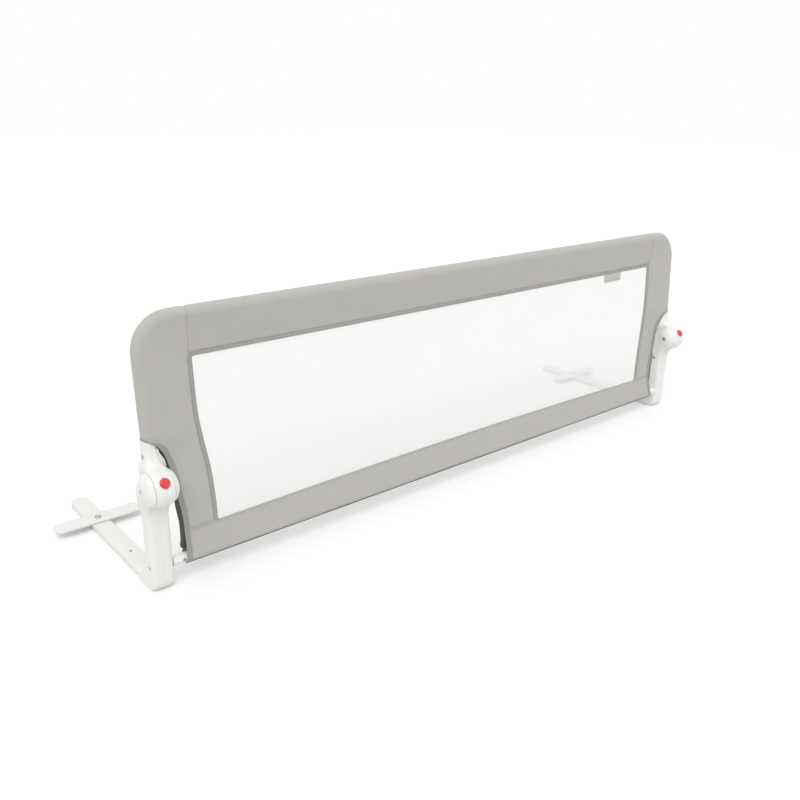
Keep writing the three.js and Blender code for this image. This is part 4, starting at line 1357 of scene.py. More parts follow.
@dataclass
class Bands:
    """The cover's four fabric bands round the window."""

    cloth: Cloth
    window: Window
    seam_x: float = 662
    seam_gap: float = 0.15
    hem_grow: float = 8
    foot_grow: float = 0.4
    low_seam: float = -108.5
    tape_width: float = 9.6
    tape_lift: float = 0.7
    tape_wall: float = 0.7
    tape_over: float = 0.4
    tuck: float = 1.2
    roll_steps: int = 40
    pitch: float = 6
    wave: float = 0.7
    wave_pitch: float = 95
    calm: float = 12
    pucker: float = 0.22
    pucker_pitch: float = 7
    pucker_reach: float = 16
    # The dark strip under the hem, which is painted shade: its turn round the tube in degrees, its
    # width and its wall.
    closure_turn: Pair = (-58, 14)
    closure_wide: float = 13
    closure_wall: float = 0.9

    def relief(self, x: float, s: float, edge: float, layer: float) -> float:
        """Return the cloth's waves at a place, with small puckers close to a sewn edge."""
        wave = self.cloth.ripple(x, 2 * s, self.wave_pitch, self.wave, layer)
        pucker = self.cloth.ripple(x, s, self.pucker_pitch, self.pucker, layer + 9)
        return wave * eased(edge / self.calm) + max(0.0, 1 - edge / self.pucker_reach) * pucker

    def hem(self, x: float) -> float:
        """Return the height of the top band's sewn edge at x."""
        upper = 150
        line = [p for p in self.window.right_line(self.hem_grow) if p[1] > upper]
        for (x0, s0), (x1, s1) in zip(line, line[1:]):
            if x1 <= abs(x) <= x0 and x0 > x1:
                return between(s1, s0, (abs(x) - x1) / (x0 - x1))
        return self.window.head + self.hem_grow

    def top_band(self) -> Piece:
        """Wrap the top band round the tube, from hem to hem."""
        plan, cloth = self.cloth.plan, self.cloth
        end = self.seam_x - self.seam_gap
        count = round(2 * end / self.pitch)
        rows = []
        for share in shares(count):
            x = between(-end, end, share)
            foot = self.hem(x)
            roll = Roll(cloth.hem_half, plan.top_s - foot, cloth.sleeve)
            tuck = self.tuck * eased(1 - (end - abs(x)) / 5)
            row = []
            for side in (-1, 1):
                wall = []
                for k in shares(self.roll_steps):
                    along = k * roll.length
                    lift = self.relief(x, foot + along, along, side) * eased((1 - k) * 4) - tuck
                    out, depth = roll.place(along, lift)
                    wall.append((x, foot + out, side * depth, x, side * (roll.length - along)))
                row += wall if side < 0 else wall[-2::-1]
            rows.append(row)
        return cloth.sewn(cloth.grid("top_band_sewn", rows))

    def bottom_band(self) -> Piece:
        """Wrap the bottom band round the lower tube, its ends cut to the cut-outs."""
        cloth = self.cloth
        low, high = self.low_corners()
        count = round(2 * high / self.pitch)
        reach = [between(-high, high, share) for share in reversed(shares(count))]
        rows = [self.low_row(x, low / high) for x in reach]
        return cloth.sewn(cloth.grid("bottom_band_sewn", rows))

    def low_corners(self) -> Pair:
        """Return how far out the bottom band reaches, at the hem and at the low seam."""
        plan = self.cloth.plan
        edge = Trail([(plan.end_x + x, s) for x, s in plan.cutout_line(0)])
        low = edge.at(edge.nearest((704, plan.low_s))).x
        return low, edge.at(edge.nearest((702, self.low_seam))).x

    def low_row(self, x: float, spread: float, lifted: float = 0, start: float = 0) -> list[Place]:
        """Return the bottom band's section at x, from front to back round the lower tube.

        Args:
            x: The place along the low seam.
            spread: How much further out the hem reaches than the low seam.
            lifted: How far off the band the section is taken.
            start: How far below the band's top edge it begins.

        Returns:
            Places (x, s, n, u, v).
        """
        plan, cloth, window = self.cloth.plan, self.cloth, self.window
        flat = window.side[0][0] - window.corner
        top = self.low_seam - self.seam_gap
        if abs(x) <= flat:
            top = window.foot - self.foot_grow + window.bow * (1 - (x / flat) ** 2)
        roll = Roll(cloth.hem_half + 0.3, top - plan.low_s, cloth.hem_roll)
        row = []
        for side in (-1, 1):
            wall = []
            for k in shares(self.roll_steps):
                along = between(start, roll.length, k)
                lift = self.relief(x, top - along, along, side + 5)
                lift *= eased((roll.length - along) / self.calm)
                out, depth = roll.place(along, lift + lifted)
                narrow = between(1, spread, min(1.0, out / (self.low_seam - plan.low_s)))
                wall.append((x * narrow, top - out, side * depth, x, side * (roll.length - along)))
            row += wall if side < 0 else wall[-2::-1]
        return row

    def stations(self) -> list[tuple[Vector, Vector, bool]]:
        """Pair places on the window's side with places on the tube or the cut-out.

        Returns:
            The inner place, the outer place and whether it lies on the cut-out, row by row.
        """
        plan, window = self.cloth.plan, self.window
        line = window.right_line(self.hem_grow)[::-1]
        inner = Trail(line)
        tube_x, turn = plan.end_x + plan.tube_x, 57
        bend = arc((tube_x - turn, plan.top_s - turn), turn, 90, 0, 24)
        outer = Trail([(self.seam_x, plan.top_s), *bend, (tube_x, 79)])
        cut = Trail([(plan.end_x + x, s) for x, s in plan.cutout_line(0)][::-1])
        keys = [
            ((self.seam_x + self.seam_gap, 203), (self.seam_x, plan.top_s), outer),
            ((664, 191), (tube_x, plan.top_s - turn), outer),
            ((661.8, 88), (tube_x, 79), outer),
            ((661.8, 88), (760, 79), cut),
            ((658.5, 57), (722, 35), cut),
            ((649.5, 0), (712.4, -7), cut),
            ((645.4, -53), (705, -55), cut),
            ((643.5, self.low_seam), (702, self.low_seam), cut),
        ]
        found = []
        for (near, far, trail), (near_next, far_next, trail_next) in zip(keys, keys[1:]):
            if trail is not trail_next:
                continue
            a, b = inner.nearest(near), inner.nearest(near_next)
            c, d = trail.nearest(far), trail.nearest(far_next)
            steps = max(2, math.ceil(max(b - a, d - c) / self.pitch))
            first = 1 if found and found[-1][2] == (trail is cut) else 0
            for share in shares(steps)[first:]:
                place = inner.at(between(a, b, share)), trail.at(between(c, d, share))
                found.append((*place, trail is cut))
        found[0] = (Vector(keys[0][0]), Vector((keys[0][0][0], plan.top_s)), False)
        return found

    def side_roll(self, near: Vector, far: Vector, cut: bool) -> Roll:
        """Return a row's section: round the tube, or ending at the cut-out."""
        cloth, plan = self.cloth, self.cloth.plan
        reach = (far - near).length
        if not cut:
            return Roll(cloth.hem_half, reach, cloth.sleeve)
        tube_x, head, narrow = plan.end_x + plan.tube_x, plan.cutout[-1][1], 2.5
        centre = reach * (tube_x - near.x) / (far.x - near.x)
        radius = between(cloth.sleeve, narrow, eased((head - far.y) / 59))
        return Roll(cloth.hem_half, centre, radius, reach)

    def side_rows(self, side: int, tape: bool = False) -> list[list[Place]]:
        """Return one face of the right-hand side band, row by row from the top seam down.

        Args:
            side: -1 for the front, 1 for the back.
            tape: Whether only the tape over the cut-out's edge is wanted.

        Returns:
            Rows of places (x, s, n, u, v).
        """
        rows, run, before = [], 0.0, None
        for i, (near, far, cut) in enumerate(self.stations()):
            middle = near.lerp(far, 0.6)
            run += (middle - before).length if before else 0
            before = middle
            if tape and not cut:
                continue
            fade = eased(len(rows) / 6)
            wide = between(1.5, self.tape_width, fade)
            roll = self.side_roll(near, far, cut)
            way = (far - near).normalized()
            tuck = self.tuck * eased(1 - i / 1.2)
            row = []
            for k in shares(4 if tape else self.roll_steps):
                along = k * roll.length
                if tape:
                    along = between(roll.length - wide, roll.length + self.tape_over, k)
                spot = near + way * along
                lift = self.relief(spot.x, spot.y, along, side + 3)
                lift = lift * eased((roll.length - along) / 14) - tuck
                if tape:
                    lift += between(0.1, self.tape_lift, fade)
                out, depth = roll.place(along, lift)
                spot = near + way * out
                row.append((spot.x, spot.y, side * depth, run, side * along))
            if tape:
                x, s, n, u, v = row[-1]
                row.append((x, s, n - side * 1.3, u, v + side))
            rows.append(row)
        return rows

    def side_band(self) -> Piece:
        """Draw the right-hand side band, from the top seam to the low seam.

        Returns:
            The band in the rail's frame.
        """
        piece = self.joined("side_band_sewn", self.faces())
        Bench.tidied(piece, turn=False)
        return self.cloth.sewn(piece)

    def faces(self, tape: bool = False) -> list[Piece]:
        """Weave both faces of the side band, or of the tape over its edge."""
        faces = []
        for side in (-1, 1):
            rows = self.side_rows(side, tape)
            faces.append(self.cloth.grid("face", rows if side < 0 else rows[::-1]))
        return faces

    @staticmethod
    def joined(name: str, sheets: Sequence[Piece]) -> Piece:
        """Make several sheets one piece, by the name given."""
        piece = sheets[0]
        piece.name = piece.data.name = name
        Bench.merged(piece, *sheets[1:])
        return piece

    def cutout_tape(self) -> Piece:
        """Fold the right-hand edge tape over the cut-out's border, down to the hem.

        Returns:
            The tape in the rail's frame.
        """
        low, high = self.low_corners()
        reach = [between(high - self.tape_width, high + self.tape_over, k) for k in shares(4)]
        rows = [self.low_row(x, low / high, self.tape_lift) for x in reach]
        sheets = [*self.faces(tape=True), self.cloth.grid("tape", rows[::-1])]
        piece = self.joined("cutout_tape_sewn", sheets)
        return self.cloth.sewn(piece, self.tape_wall)

    def hem_closure(self) -> Piece:
        """Lay a dark strip under the hem, where the cover wraps the lower tube: painted shade, for
        the shadow under the hem.

        Returns:
            The strip in the rail's frame.
        """
        plan, cloth = self.cloth.plan, self.cloth
        reach = self.low_corners()[0] - 3
        count = round(2 * reach / (2 * self.pitch))
        proud = cloth.hem_roll + 0.75
        rows = []
        for share in reversed(shares(count)):
            x = between(-reach, reach, share)
            row = []
            for turn in shares(7):
                angle = between(*self.closure_turn, turn) + cloth.ripple(x, 0, 120, 5, 11)
                angle = math.radians(angle)
                s, n = plan.low_s - proud * math.cos(angle), proud * math.sin(angle)
                row.append((x, s, n, x, self.closure_wide * turn))
            rows.append(row)
        return cloth.sewn(cloth.grid("hem_closure_sewn", rows), self.closure_wall)


@dataclass
class Trim:
    """What is sewn to the bands: binding, mesh, dark strips of painted shade, label and stitches.
    """

    cloth: Cloth
    window: Window
    width: float = 10
    half: float = 2.0
    foot_half: float = 0.6
    slope: float = 1.2
    side_x: Pair = (628, 8)
    section_steps: int = 18
    strip: Triple = (-4, 4.6, 8.4)
    strip_half: float = 1.2
    label: Triple = (507, 66, 20)
    label_drop: float = 0.5
    stitch: Triple = (2.7, 0.38, 4.0)
    mesh_grow: float = 3.5

    def swell(self, grow: float, x: float) -> float:
        """Return how much thicker the binding is, this far over its width, near the sides."""
        start, room = self.side_x
        return 1 + self.slope * (grow / self.width - 0.5) * eased((abs(x) - start) / room)

    def wave(self, x: float, s: float) -> float:
        """Return the binding's long wave at a place."""
        return self.cloth.ripple(x, s, 60, 0.3, 4)

    def binding(self) -> Piece:
        """Lay the folded tape round the window as one rounded loop.

        Returns:
            The binding in the rail's frame.
        """
        section = []
        for step in range(self.section_steps):
            turn = 2 * math.pi * step / self.section_steps
            grow = self.width / 2 * (1 + squared(math.cos(turn), 0.55))
            depth = self.half * squared(math.sin(turn), 0.6)
            section.append((self.window.ring(grow), depth, grow))
        first = section[0][0]
        count, thin = len(first), self.foot_half / self.half
        rows, run = [], 0.0
        for i in range(count + 1):
            at_row = i % count
            if i:
                run += (Vector(first[at_row]) - Vector(first[(i - 1) % count])).length
            row = []
            around = 0.0
            for ring, depth, grow in section:
                x, s = ring[at_row]
                depth *= self.swell(grow, x)
                depth *= between(thin, 1, eased((s - self.window.foot + 1) / 7))
                n = depth * (1 + self.cloth.ripple(x, s, 9, 0.1, 2)) + self.wave(x, s)
                row.append((x, s, n, run, around))
                around += 2 * (self.width + 2 * self.half) / self.section_steps
            rows.append(row)
        piece = self.cloth.grid("window_binding_sewn", rows, close=True)
        Bench.tidied(piece)
        return Bench.shaded(piece, 60)

    def mesh(self) -> Piece:
        """Stretch one sheet of see-through mesh across the window.

        Returns:
            The mesh in the rail's frame.
        """
        window, grow = self.window, self.mesh_grow
        low, high = window.foot - grow, window.head + grow
        side = spline(window.edge(grow), 10)
        side = [(side[0][0], low), *side, (side[-1][0], high)]
        half = window.side[0][0] - window.corner
        rows = []
        for up in shares(40):
            level = between(low, high, up)
            reach = next(
                between(a[0], b[0], (level - a[1]) / (b[1] - a[1]) if b[1] > a[1] else 0)
                for a, b in zip(side, side[1:])
                if level <= b[1] + 1e-6
            )
            row = []
            for across in shares(150):
                x = between(-reach, reach, across)
                s = between(low + window.bow * max(0.0, 1 - (x / half) ** 2), high, up)
                slack = math.sin(math.pi * up) * math.sin(math.pi * across)
                row.append((x, s, slack * self.cloth.ripple(x, s, 160, 2.2, 7), x, s))
            rows.append(row)
        piece = self.cloth.grid("mesh_window_stretched", rows[::-1])
        return Bench.shaded(piece, 80)

    def closure(self) -> Piece:
        """Run the right-hand dark strip between the walls along the cut-out: painted shade, for the
        shadowed inside of the sleeve.

        Returns:
            The strip in the rail's frame.
        """
        plan, steps = self.cloth.plan, 12
        rows = []
        line = Trail([(plan.end_x + x, s) for x, s in plan.cutout_line(0)][::-1])
        start, end = line.nearest((738, 62)), line.nearest((705, -143))
        inner, narrow, wide = self.strip
        for share in shares(60):
            reach = between(start, end, share)
            spot, way = line.at(reach), line.way(reach)
            side = Vector((-way.y, way.x))
            outer = between(narrow, wide, eased((-28 - spot.y) / 34))
            swell = eased(share * 9) * eased((1 - share) * 40)
            row = []
            for step in range(steps):
                turn = 2 * math.pi * step / steps
                share = 0.5 + 0.5 * squared(math.cos(turn), 0.4)
                out = between(inner, max(outer * swell, inner + 1), share)
                place = spot + side * out
                n = self.strip_half * squared(math.sin(turn), 0.5)
                row.append((place.x, place.y, n, reach, out))
            rows.append(row)
        piece = self.cloth.grid("closure_strip_sewn", rows, close=True)
        Bench.capped(piece)
        return Bench.shaded(piece, 50)

    def label_tab(self) -> Piece:
        """Hang the blank label tab from the window's head.

        Returns:
            The tab in the rail's frame.
        """
        x, wide, tall = self.label
        head = self.window.head + self.label_drop
        rows = []
        for across in shares(22):
            row, bow, curl = [], math.sin(math.pi * across), math.cos(9 * across)
            for down in shares(10):
                n = -1.45 - 0.35 * bow * down - 0.2 * curl * down
                place = (x + (across - 0.5) * wide, head - down * tall, n)
                row.append((*place, across * wide, (1 - down) * tall))
            rows.append(row[::-1])
        return self.cloth.sewn(self.cloth.grid("label_tab_sewn", rows))

    def seam(self, line: Sequence[Triple]) -> tuple[list, list]:
        """Set a row of stitches along a line on one face of the cover.

        Args:
            line: Places (x, s, n) in order; the sign of n tells the face.

        Returns:
            The stitches' points and faces.
        """
        long, radius, pitch = self.stitch
        trail = Trail([(x, s) for x, s, _ in line])
        depth = [n for _, _, n in line]
        points, faces = [], []
        for k in range(int(trail.length / pitch)):
            reach = (k + 0.5) * pitch
            spot, way = trail.at(reach), trail.way(reach)
            n = depth[min(len(depth) - 1, round(reach / trail.length * (len(depth) - 1)))]
            side, face = Vector((-way.y, way.x)), math.copysign(1, n)
            first = len(points)
            for out, size in ((-0.5, 0), (-0.38, 1), (0.38, 1), (0.5, 0)):
                middle = spot + way * out * long
                if not size:
                    points.append(self.cloth.spot(middle.x, middle.y, n))
                    continue
                for turn in range(4):
                    a = math.pi * (0.25 + turn / 2)
                    place, rise = middle + side * radius * math.cos(a), radius * math.sin(a)
                    points.append(self.cloth.spot(place.x, place.y, n + rise * face))
            for j in range(4):
                a, b = 1 + j, 1 + (j + 1) % 4
                faces.append((first, first + b, first + a))
                faces.append((first + a, first + b, first + b + 4, first + a + 4))
                faces.append((first + 9, first + a + 4, first + b + 4))
        return points, faces

    def stitches(self, name: str, lines: Sequence[Sequence[Triple]]) -> Piece:
        """Set several rows of stitches as one piece.

        Args:
            name: The piece's name.
            lines: The rows' places (x, s, n).

        Returns:
            The stitches.
        """
        points, faces = [], []
        for line in lines:
            more, ring = self.seam(line)
            faces += [tuple(i + len(points) for i in face) for face in ring]
            points += more
        piece = Bench.drawn(name, points, faces=faces)
        Bench.tidied(piece)
        return Bench.shaded(piece, 80)

    def binding_stitches(self) -> Piece:
        """Stitch the binding down, on both faces, round the sides and the head."""
        lines = []
        low = self.window.foot + 6
        # The dark stitches near the binding's borders also draw its shadow lines: partly painted
        # shade.
        for grow in (1.6, 8.3):
            ring = [p for p in self.window.ring(grow) if p[1] > low]
            for face in (-1, 1):
                line = []
                for x, s in ring:
                    depth = self.half * 0.97 * self.swell(grow, x)
                    line.append((x, s, face * depth + self.wave(x, s)))
                lines.append(line)
        return self.stitches("binding_stitches", lines)

    def label_stitches(self) -> Piece:
        """Stitch across the label tab's folded end."""
        x, wide, tall = self.label
        level = self.window.head + self.label_drop - 0.78 * tall
        ends = [(x + k * wide, level, -1.95) for k in (-0.46, 0.46)]
        return self.stitches("label_stitches", [ends])

    def low_stitches(self, bands: Bands) -> Piece:
        """Stitch the bottom band along its top edge and along the low seams."""
        low, high = bands.low_corners()
        reach = [between(-high + 12, high - 12, share) for share in shares(320)]
        edge = [bands.low_row(x, low / high, 0.1, 2.4) for x in reach]
        lines = [[row[0][:3] for row in edge], [row[-1][:3] for row in edge]]
        return self.stitches("low_stitches", lines)

    def seam_stitches(self, bands: Bands) -> Piece:
        """Stitch the right-hand side band along its top seam and its low seam."""
        lines = []
        for side in (-1, 1):
            rows = bands.side_rows(side)
            for row, right, up in ((rows[0], 2.4, 0), (rows[-1], 0, 2.6)):
                lines.append([(x + right, s + up, n + side * 0.2) for x, s, n, _, _ in row[3:-6]])
        return self.stitches("seam_stitches", lines)


@dataclass
class Graph:
    """A material's or a group's node tree being wired."""

    tree: Tree

    def add(self, kind: str, feeds: dict | None = None, **settings: object) -> bpy.types.Node:
        """Add a node, set it up and feed its inputs.

        Args:
            kind: The node's type.
            feeds: Values or output sockets, by the input's name or number.
            **settings: The node's own settings.

        Returns:
            The new node.
        """
        node = self.tree.nodes.new(kind)
        for key, value in settings.items():
            setattr(node, key, value)
        self.feed(node, feeds or {})
        return node

    def feed(self, node: bpy.types.Node, feeds: dict) -> None:
        """Feed a node's inputs with values or output sockets, by name or number."""
        for key, value in feeds.items():
            if isinstance(value, Socket):
                self.tree.links.new(value, node.inputs[key])
            else:
                node.inputs[key].default_value = value

    def math(self, operation: str, *values: object) -> Socket:
        """Add one step of arithmetic and return its result."""
        node = self.add("ShaderNodeMath", dict(enumerate(values)), operation=operation)
        return node.outputs[0]

    def mixed(self, share: object, low: object, high: object) -> Socket:
        """Mix two colours by a share and return the result."""
        feeds = {0: share, 6: low, 7: high}
        return self.add("ShaderNodeMix", feeds, data_type="RGBA").outputs[2]

    def ranged(self, value: object, source: Pair, target: Pair) -> Socket:
        """Map a value smoothly from one range to another."""
        feeds = dict(enumerate((value, *source, *target)))
        return self.add("ShaderNodeMapRange", feeds, interpolation_type="SMOOTHSTEP").outputs[0]

    def noise(self, vector: object, scale: object, detail: float) -> Socket:
        """Add a noise texture and return its value."""
        feeds = {"Vector": vector, "Scale": scale, "Detail": detail}
        return self.add("ShaderNodeTexNoise", feeds).outputs[0]

    def product(self, value: object, factor: object) -> Socket:
        """Multiply two values and return the result."""
        return self.math("MULTIPLY", value, factor)

    def bump(self, strength: float, depth: float, height: Socket) -> Socket:
        """Raise a surface by a height in metres and return its normal."""
        feeds = {"Strength": strength, "Distance": depth, "Height": height}
        return self.add("ShaderNodeBump", feeds).outputs[0]


class Effect:
    """A shared effect being built: a node group with named inputs and outputs."""

    def __init__(self, name: str, inputs: dict[str, str], outputs: Sequence[str]) -> None:
        """Start the group.

        Args:
            name: The effect's name.
            inputs: Its inputs' kinds, by name.
            outputs: Its outputs' names; each is a number.
        """
        self.tree = bpy.data.node_groups.new(name, "ShaderNodeTree")
        kinds = [("INPUT", *item) for item in inputs.items()]
        kinds += [("OUTPUT", label, "Float") for label in outputs]
        for way, label, kind in kinds:
            self.tree.interface.new_socket(label, in_out=way, socket_type=f"NodeSocket{kind}")
        self.graph = Graph(self.tree)
        self.given = self.graph.add("NodeGroupInput").outputs

    def finished(self, **results: Socket) -> Tree:
        """Wire the results to the outputs of their names, and return the group."""
        feeds = {label.capitalize(): socket for label, socket in results.items()}
        self.graph.add("NodeGroupOutput", feeds)
        return self.tree


def weave_group() -> Tree:
    """Build the plain weave: crossing threads, with uneven yarn.

    Returns:
        The group, which puts out the threads' height and their shade.
    """
    inputs = {"Vector": "Vector", "Pitch": "Float", "Uneven": "Float"}
    effect = Effect("Weave", inputs, ("Height", "Shade"))
    graph, vector = effect.graph, effect.given["Vector"]
    parts = graph.add("ShaderNodeSeparateXYZ", {0: vector}).outputs
    turn = graph.math("DIVIDE", math.pi, effect.given["Pitch"])
    warp, weft = (graph.math("SINE", graph.product(part, turn)) for part in (parts[0], parts[1]))
    over = graph.math("ABSOLUTE", graph.product(warp, weft))
    yarn, cloud = graph.noise(vector, 900, 2), graph.noise(vector, 22, 4)
    height = graph.math("MULTIPLY_ADD", over, 0.7, graph.product(yarn, 0.5))
    fleck = graph.product(graph.math("SUBTRACT", yarn, 0.5), effect.given["Uneven"])
    soft = graph.product(graph.math("SUBTRACT", cloud, 0.5), 0.35)
    shade = graph.math("ADD", graph.math("ADD", 0.5, graph.product(fleck, 2.0)), soft)
    return effect.finished(height=height, shade=shade)


def grain_group() -> Tree:
    """Build the fine grain of a moulded or coated surface, with faint handling marks.

    Returns:
        The group, which puts out the grain's height and the marks' mask.
    """
    inputs = {"Vector": "Vector", "Grain": "Float", "Marks": "Float"}
    effect = Effect("Grain", inputs, ("Height", "Mask"))
    graph, place = effect.graph, effect.given["Vector"]
    fine = graph.noise(place, effect.given["Grain"], 2)
    broad = graph.noise(place, 14, 5)
    streaks = graph.add("ShaderNodeMapping", {"Vector": place, "Scale": (40, 40, 260)})
    scuffs = graph.ranged(graph.noise(streaks.outputs[0], 1.0, 4), (0.56, 0.72), (0, 1))
    marks = graph.product(scuffs, effect.given["Marks"])
    mask = graph.math("ADD", graph.product(broad, 0.5), marks)
    return effect.finished(height=fine, mask=mask)


def rgba(colour: Triple) -> tuple[float, float, float, float]:
    """Return a colour with its alpha."""
    return (*colour, 1.0)


@dataclass(frozen=True)
class Finish:
    """A finish: its two colours, and the shared effect that mixes and textures them."""

    name: str
    light: Triple
    dark: Triple
    coordinates: str = field(default="UV", kw_only=True)

    def build(self, effect: Tree) -> Material:
        """Wire the material.

        Args:
            effect: The shared weave or grain.

        Returns:
            The material.
        """
        material = bpy.data.materials.new(self.name)
        material.use_nodes = True
        graph = Graph(material.node_tree)
        shader = next(node for node in graph.tree.nodes if node.type == "BSDF_PRINCIPLED")
        place = graph.add("ShaderNodeTexCoord").outputs[self.coordinates]
        feeds = {"Vector": place, **self.inputs()}
        made = graph.add("ShaderNodeGroup", feeds, node_tree=effect).outputs
        graph.feed(shader, self.sockets(graph, place, made))
        return material

    def inputs(self) -> dict[str, float]:
        """Return the shared effect's inputs."""
        raise NotImplementedError

    def sockets(self, graph: Graph, place: Socket, made: Mapping[str, Socket]) -> dict:
        """Return what feeds the shader's sockets, from the shared effect's outputs."""
        raise NotImplementedError


@dataclass(frozen=True)
class ClothFinish(Finish):
    """Woven cloth or tape: its weave and how soft it looks."""

    pitch: float = 0.0009
    uneven: float = 0.5
    bump: float = 0.25
    depth: float = 0.0003
    rough: Pair = (0.95, 0.82)
    sheen: float = 0.15

    def inputs(self) -> dict[str, float]:
        """Return the weave's inputs."""
        return {"Pitch": self.pitch, "Uneven": self.uneven}

    def sockets(self, graph: Graph, place: Socket, made: Mapping[str, Socket]) -> dict:
        """Return what feeds the shader's sockets, from the weave's outputs."""
        return {
            "Base Color": graph.mixed(made["Shade"], rgba(self.dark), rgba(self.light)),
            "Roughness": graph.ranged(made["Shade"], (0, 1), self.rough),
            "Normal": graph.bump(self.bump, self.depth, made["Height"]),
            "Sheen Weight": self.sheen,
            "Sheen Roughness": 0.6,
            "Specular IOR Level": 0.25,
        }


@dataclass(frozen=True)
class MeshFinish(Finish):
    """See-through mesh: threads round rows of small holes."""

    pitch: float = 0.0024
    open_at: float = 0.55
    edge: float = 0.06
    uneven: float = 0.3
    bump: float = 0.2
    depth: float = 0.0002
    rough: Pair = (0.9, 0.75)

    def inputs(self) -> dict[str, float]:
        """Return the weave's inputs, for the threads' own texture."""
        return {"Pitch": self.pitch / 6, "Uneven": self.uneven}

    def sockets(self, graph: Graph, place: Socket, made: Mapping[str, Socket]) -> dict:
        """Return what feeds the shader's sockets, with holes between the threads."""
        parts = graph.add("ShaderNodeSeparateXYZ", {0: place}).outputs
        across, up = (
            graph.math("SINE", graph.product(graph.math(way, *parts[:2]), math.pi / self.pitch))
            for way in ("ADD", "SUBTRACT")
        )
        hole = graph.math("ABSOLUTE", graph.product(across, up))
        edges = self.open_at - self.edge, self.open_at + self.edge
        return {
            "Base Color": graph.mixed(made["Shade"], rgba(self.dark), rgba(self.light)),
            "Roughness": graph.ranged(made["Shade"], (0, 1), self.rough),
            "Normal": graph.bump(self.bump, self.depth, made["Height"]),
            "Alpha": graph.ranged(hole, edges, (1, 0)),
        }


@dataclass(frozen=True)
class MouldedFinish(Finish):
    """Moulded plastic, rubber or a powder coat: its gloss and its grain."""

    rough: Pair
    grain: float = 1400
    marks: float = 0.25
    bump: float = 0.06
    metallic: float = 0.0
    coat: float = 0.0
    depth: float = 0.0002
    coordinates: str = field(default="Object", kw_only=True)

    def inputs(self) -> dict[str, float]:
        """Return the grain's inputs."""
        return {"Grain": self.grain, "Marks": self.marks}

    def sockets(self, graph: Graph, place: Socket, made: Mapping[str, Socket]) -> dict:
        """Return what feeds the shader's sockets, from the grain's outputs."""
        return {
            "Base Color": graph.mixed(made["Mask"], rgba(self.light), rgba(self.dark)),
            "Roughness": graph.ranged(made["Mask"], (0.1, 0.9), self.rough),
            "Normal": graph.bump(self.bump, self.depth, made["Height"]),
            "Metallic": self.metallic,
            "Coat Weight": self.coat,
            "Coat Roughness": 0.25,
        }


CLOTHS = {
    "grey_fabric": ClothFinish("Woven cover cloth", (0.508, 0.495, 0.466), (0.418, 0.406, 0.38)),
    # Binding tape darker than the cover cloth: partly the tape's own tone and partly painted shade,
    # for the shade on the side bindings.
    "binding_tape": ClothFinish(
        "Folded binding tape", (0.41, 0.4, 0.38), (0.31, 0.302, 0.286), 0.0012, 0.6, 0.4
    ),
    "closure_tape": ClothFinish(
        # Near-black tape for the strips along the cut-outs and under the hem: painted shade.
        "Hook and loop tape", (0.1, 0.11, 0.1), (0.05, 0.056, 0.05), 0.0016, 0.9, 0.7
    ),
    "label_tape": ClothFinish(
        "Blank label tape", (0.56, 0.55, 0.53), (0.48, 0.47, 0.45), 0.0007, 0.3, 0.2
    ),
    # Edge tape darker than the cover cloth: the tape is real, and its darker tone is painted shade
    # along the cut-out.
    "edge_tape": ClothFinish(
        "Cut-out edge tape", (0.36, 0.355, 0.34), (0.27, 0.265, 0.255), 0.0011, 0.6, 0.4
    ),
    # Thread darker than the cloth: the stitches are real, and their dark tone is partly painted
    # shade, drawing the shadow lines along the binding's borders and the seams.
    "thread": ClothFinish(
        "Sewing thread", (0.26, 0.255, 0.245), (0.18, 0.175, 0.17), 0.0005, 0.4, 0.3,
        coordinates="Object",
    ),
    "white_mesh": MeshFinish("White window mesh", (0.9, 0.9, 0.89), (0.82, 0.82, 0.81)),
}  # fmt: skip
MOULDED = {
    "white_plastic": MouldedFinish(
        "White moulded plastic", (0.825, 0.825, 0.8), (0.765, 0.765, 0.74), (0.34, 0.5)
    ),
    "white_metal": MouldedFinish(
        "White powder coat", (0.78, 0.78, 0.76), (0.7, 0.7, 0.68), (0.3, 0.5), 2200, 0.4, 0.12
    ),
    # Steel darker than bright zinc plating: partly painted shade, so the screw heads look like the
    # dark dots of their shaded recesses.
    "bright_steel": MouldedFinish(
        "Zinc-plated steel", (0.46, 0.46, 0.46), (0.3, 0.3, 0.3), (0.28, 0.55), 900, 0.7, 0.05, 0.9
    ),
    "red_button": MouldedFinish(
        "Red moulded plastic", (0.7, 0.036, 0.04), (0.6, 0.026, 0.03), (0.25, 0.4), 1600, 0.2, 0.04,
        coat=0.2,
    ),
    "pad_rubber": MouldedFinish(
        "Grey rubber", (0.26, 0.27, 0.27), (0.19, 0.2, 0.2), (0.75, 0.92), 700, 0.4, 0.3
    ),
}  # fmt: skip
STEEL = (
    "leg_screw", "lower_tube_screw", "plug_screw", "pivot_bolt", "pivot_nut", "arm_screw",
    "cross_bar_rivet", "neck_screw", "button_spring", "lock_bar",
)  # fmt: skip
PIECE_SLOTS = {
    **dict.fromkeys(STEEL, "bright_steel"),
    "base_arm": "white_metal",
    "cross_bar": "white_metal",
    "arm_pad": "pad_rubber",
    "release_button": "red_button",
}


def finishes() -> dict[str, Material]:
    """Build every finish, by the slot that it is for."""
    weave, grain = weave_group(), grain_group()
    made = {slot: finish.build(weave) for slot, finish in CLOTHS.items()}
    made.update({slot: finish.build(grain) for slot, finish in MOULDED.items()})
    return made


@dataclass
class Lamp:
    """A soft, distant lamp: where it shines from, its strength and its shadows' softness."""

    name: str
    source: Vector
    strength: float
    spread: float

    def build(self) -> None:
        """Hang the lamp."""
        light = bpy.data.lights.new(self.name, "SUN")
        light.energy, light.angle = self.strength, math.radians(self.spread)
        lamp = bpy.data.objects.new(self.name, light)
        lamp.matrix_world = facing(self.source, self.source)
        bpy.context.scene.collection.objects.link(lamp)


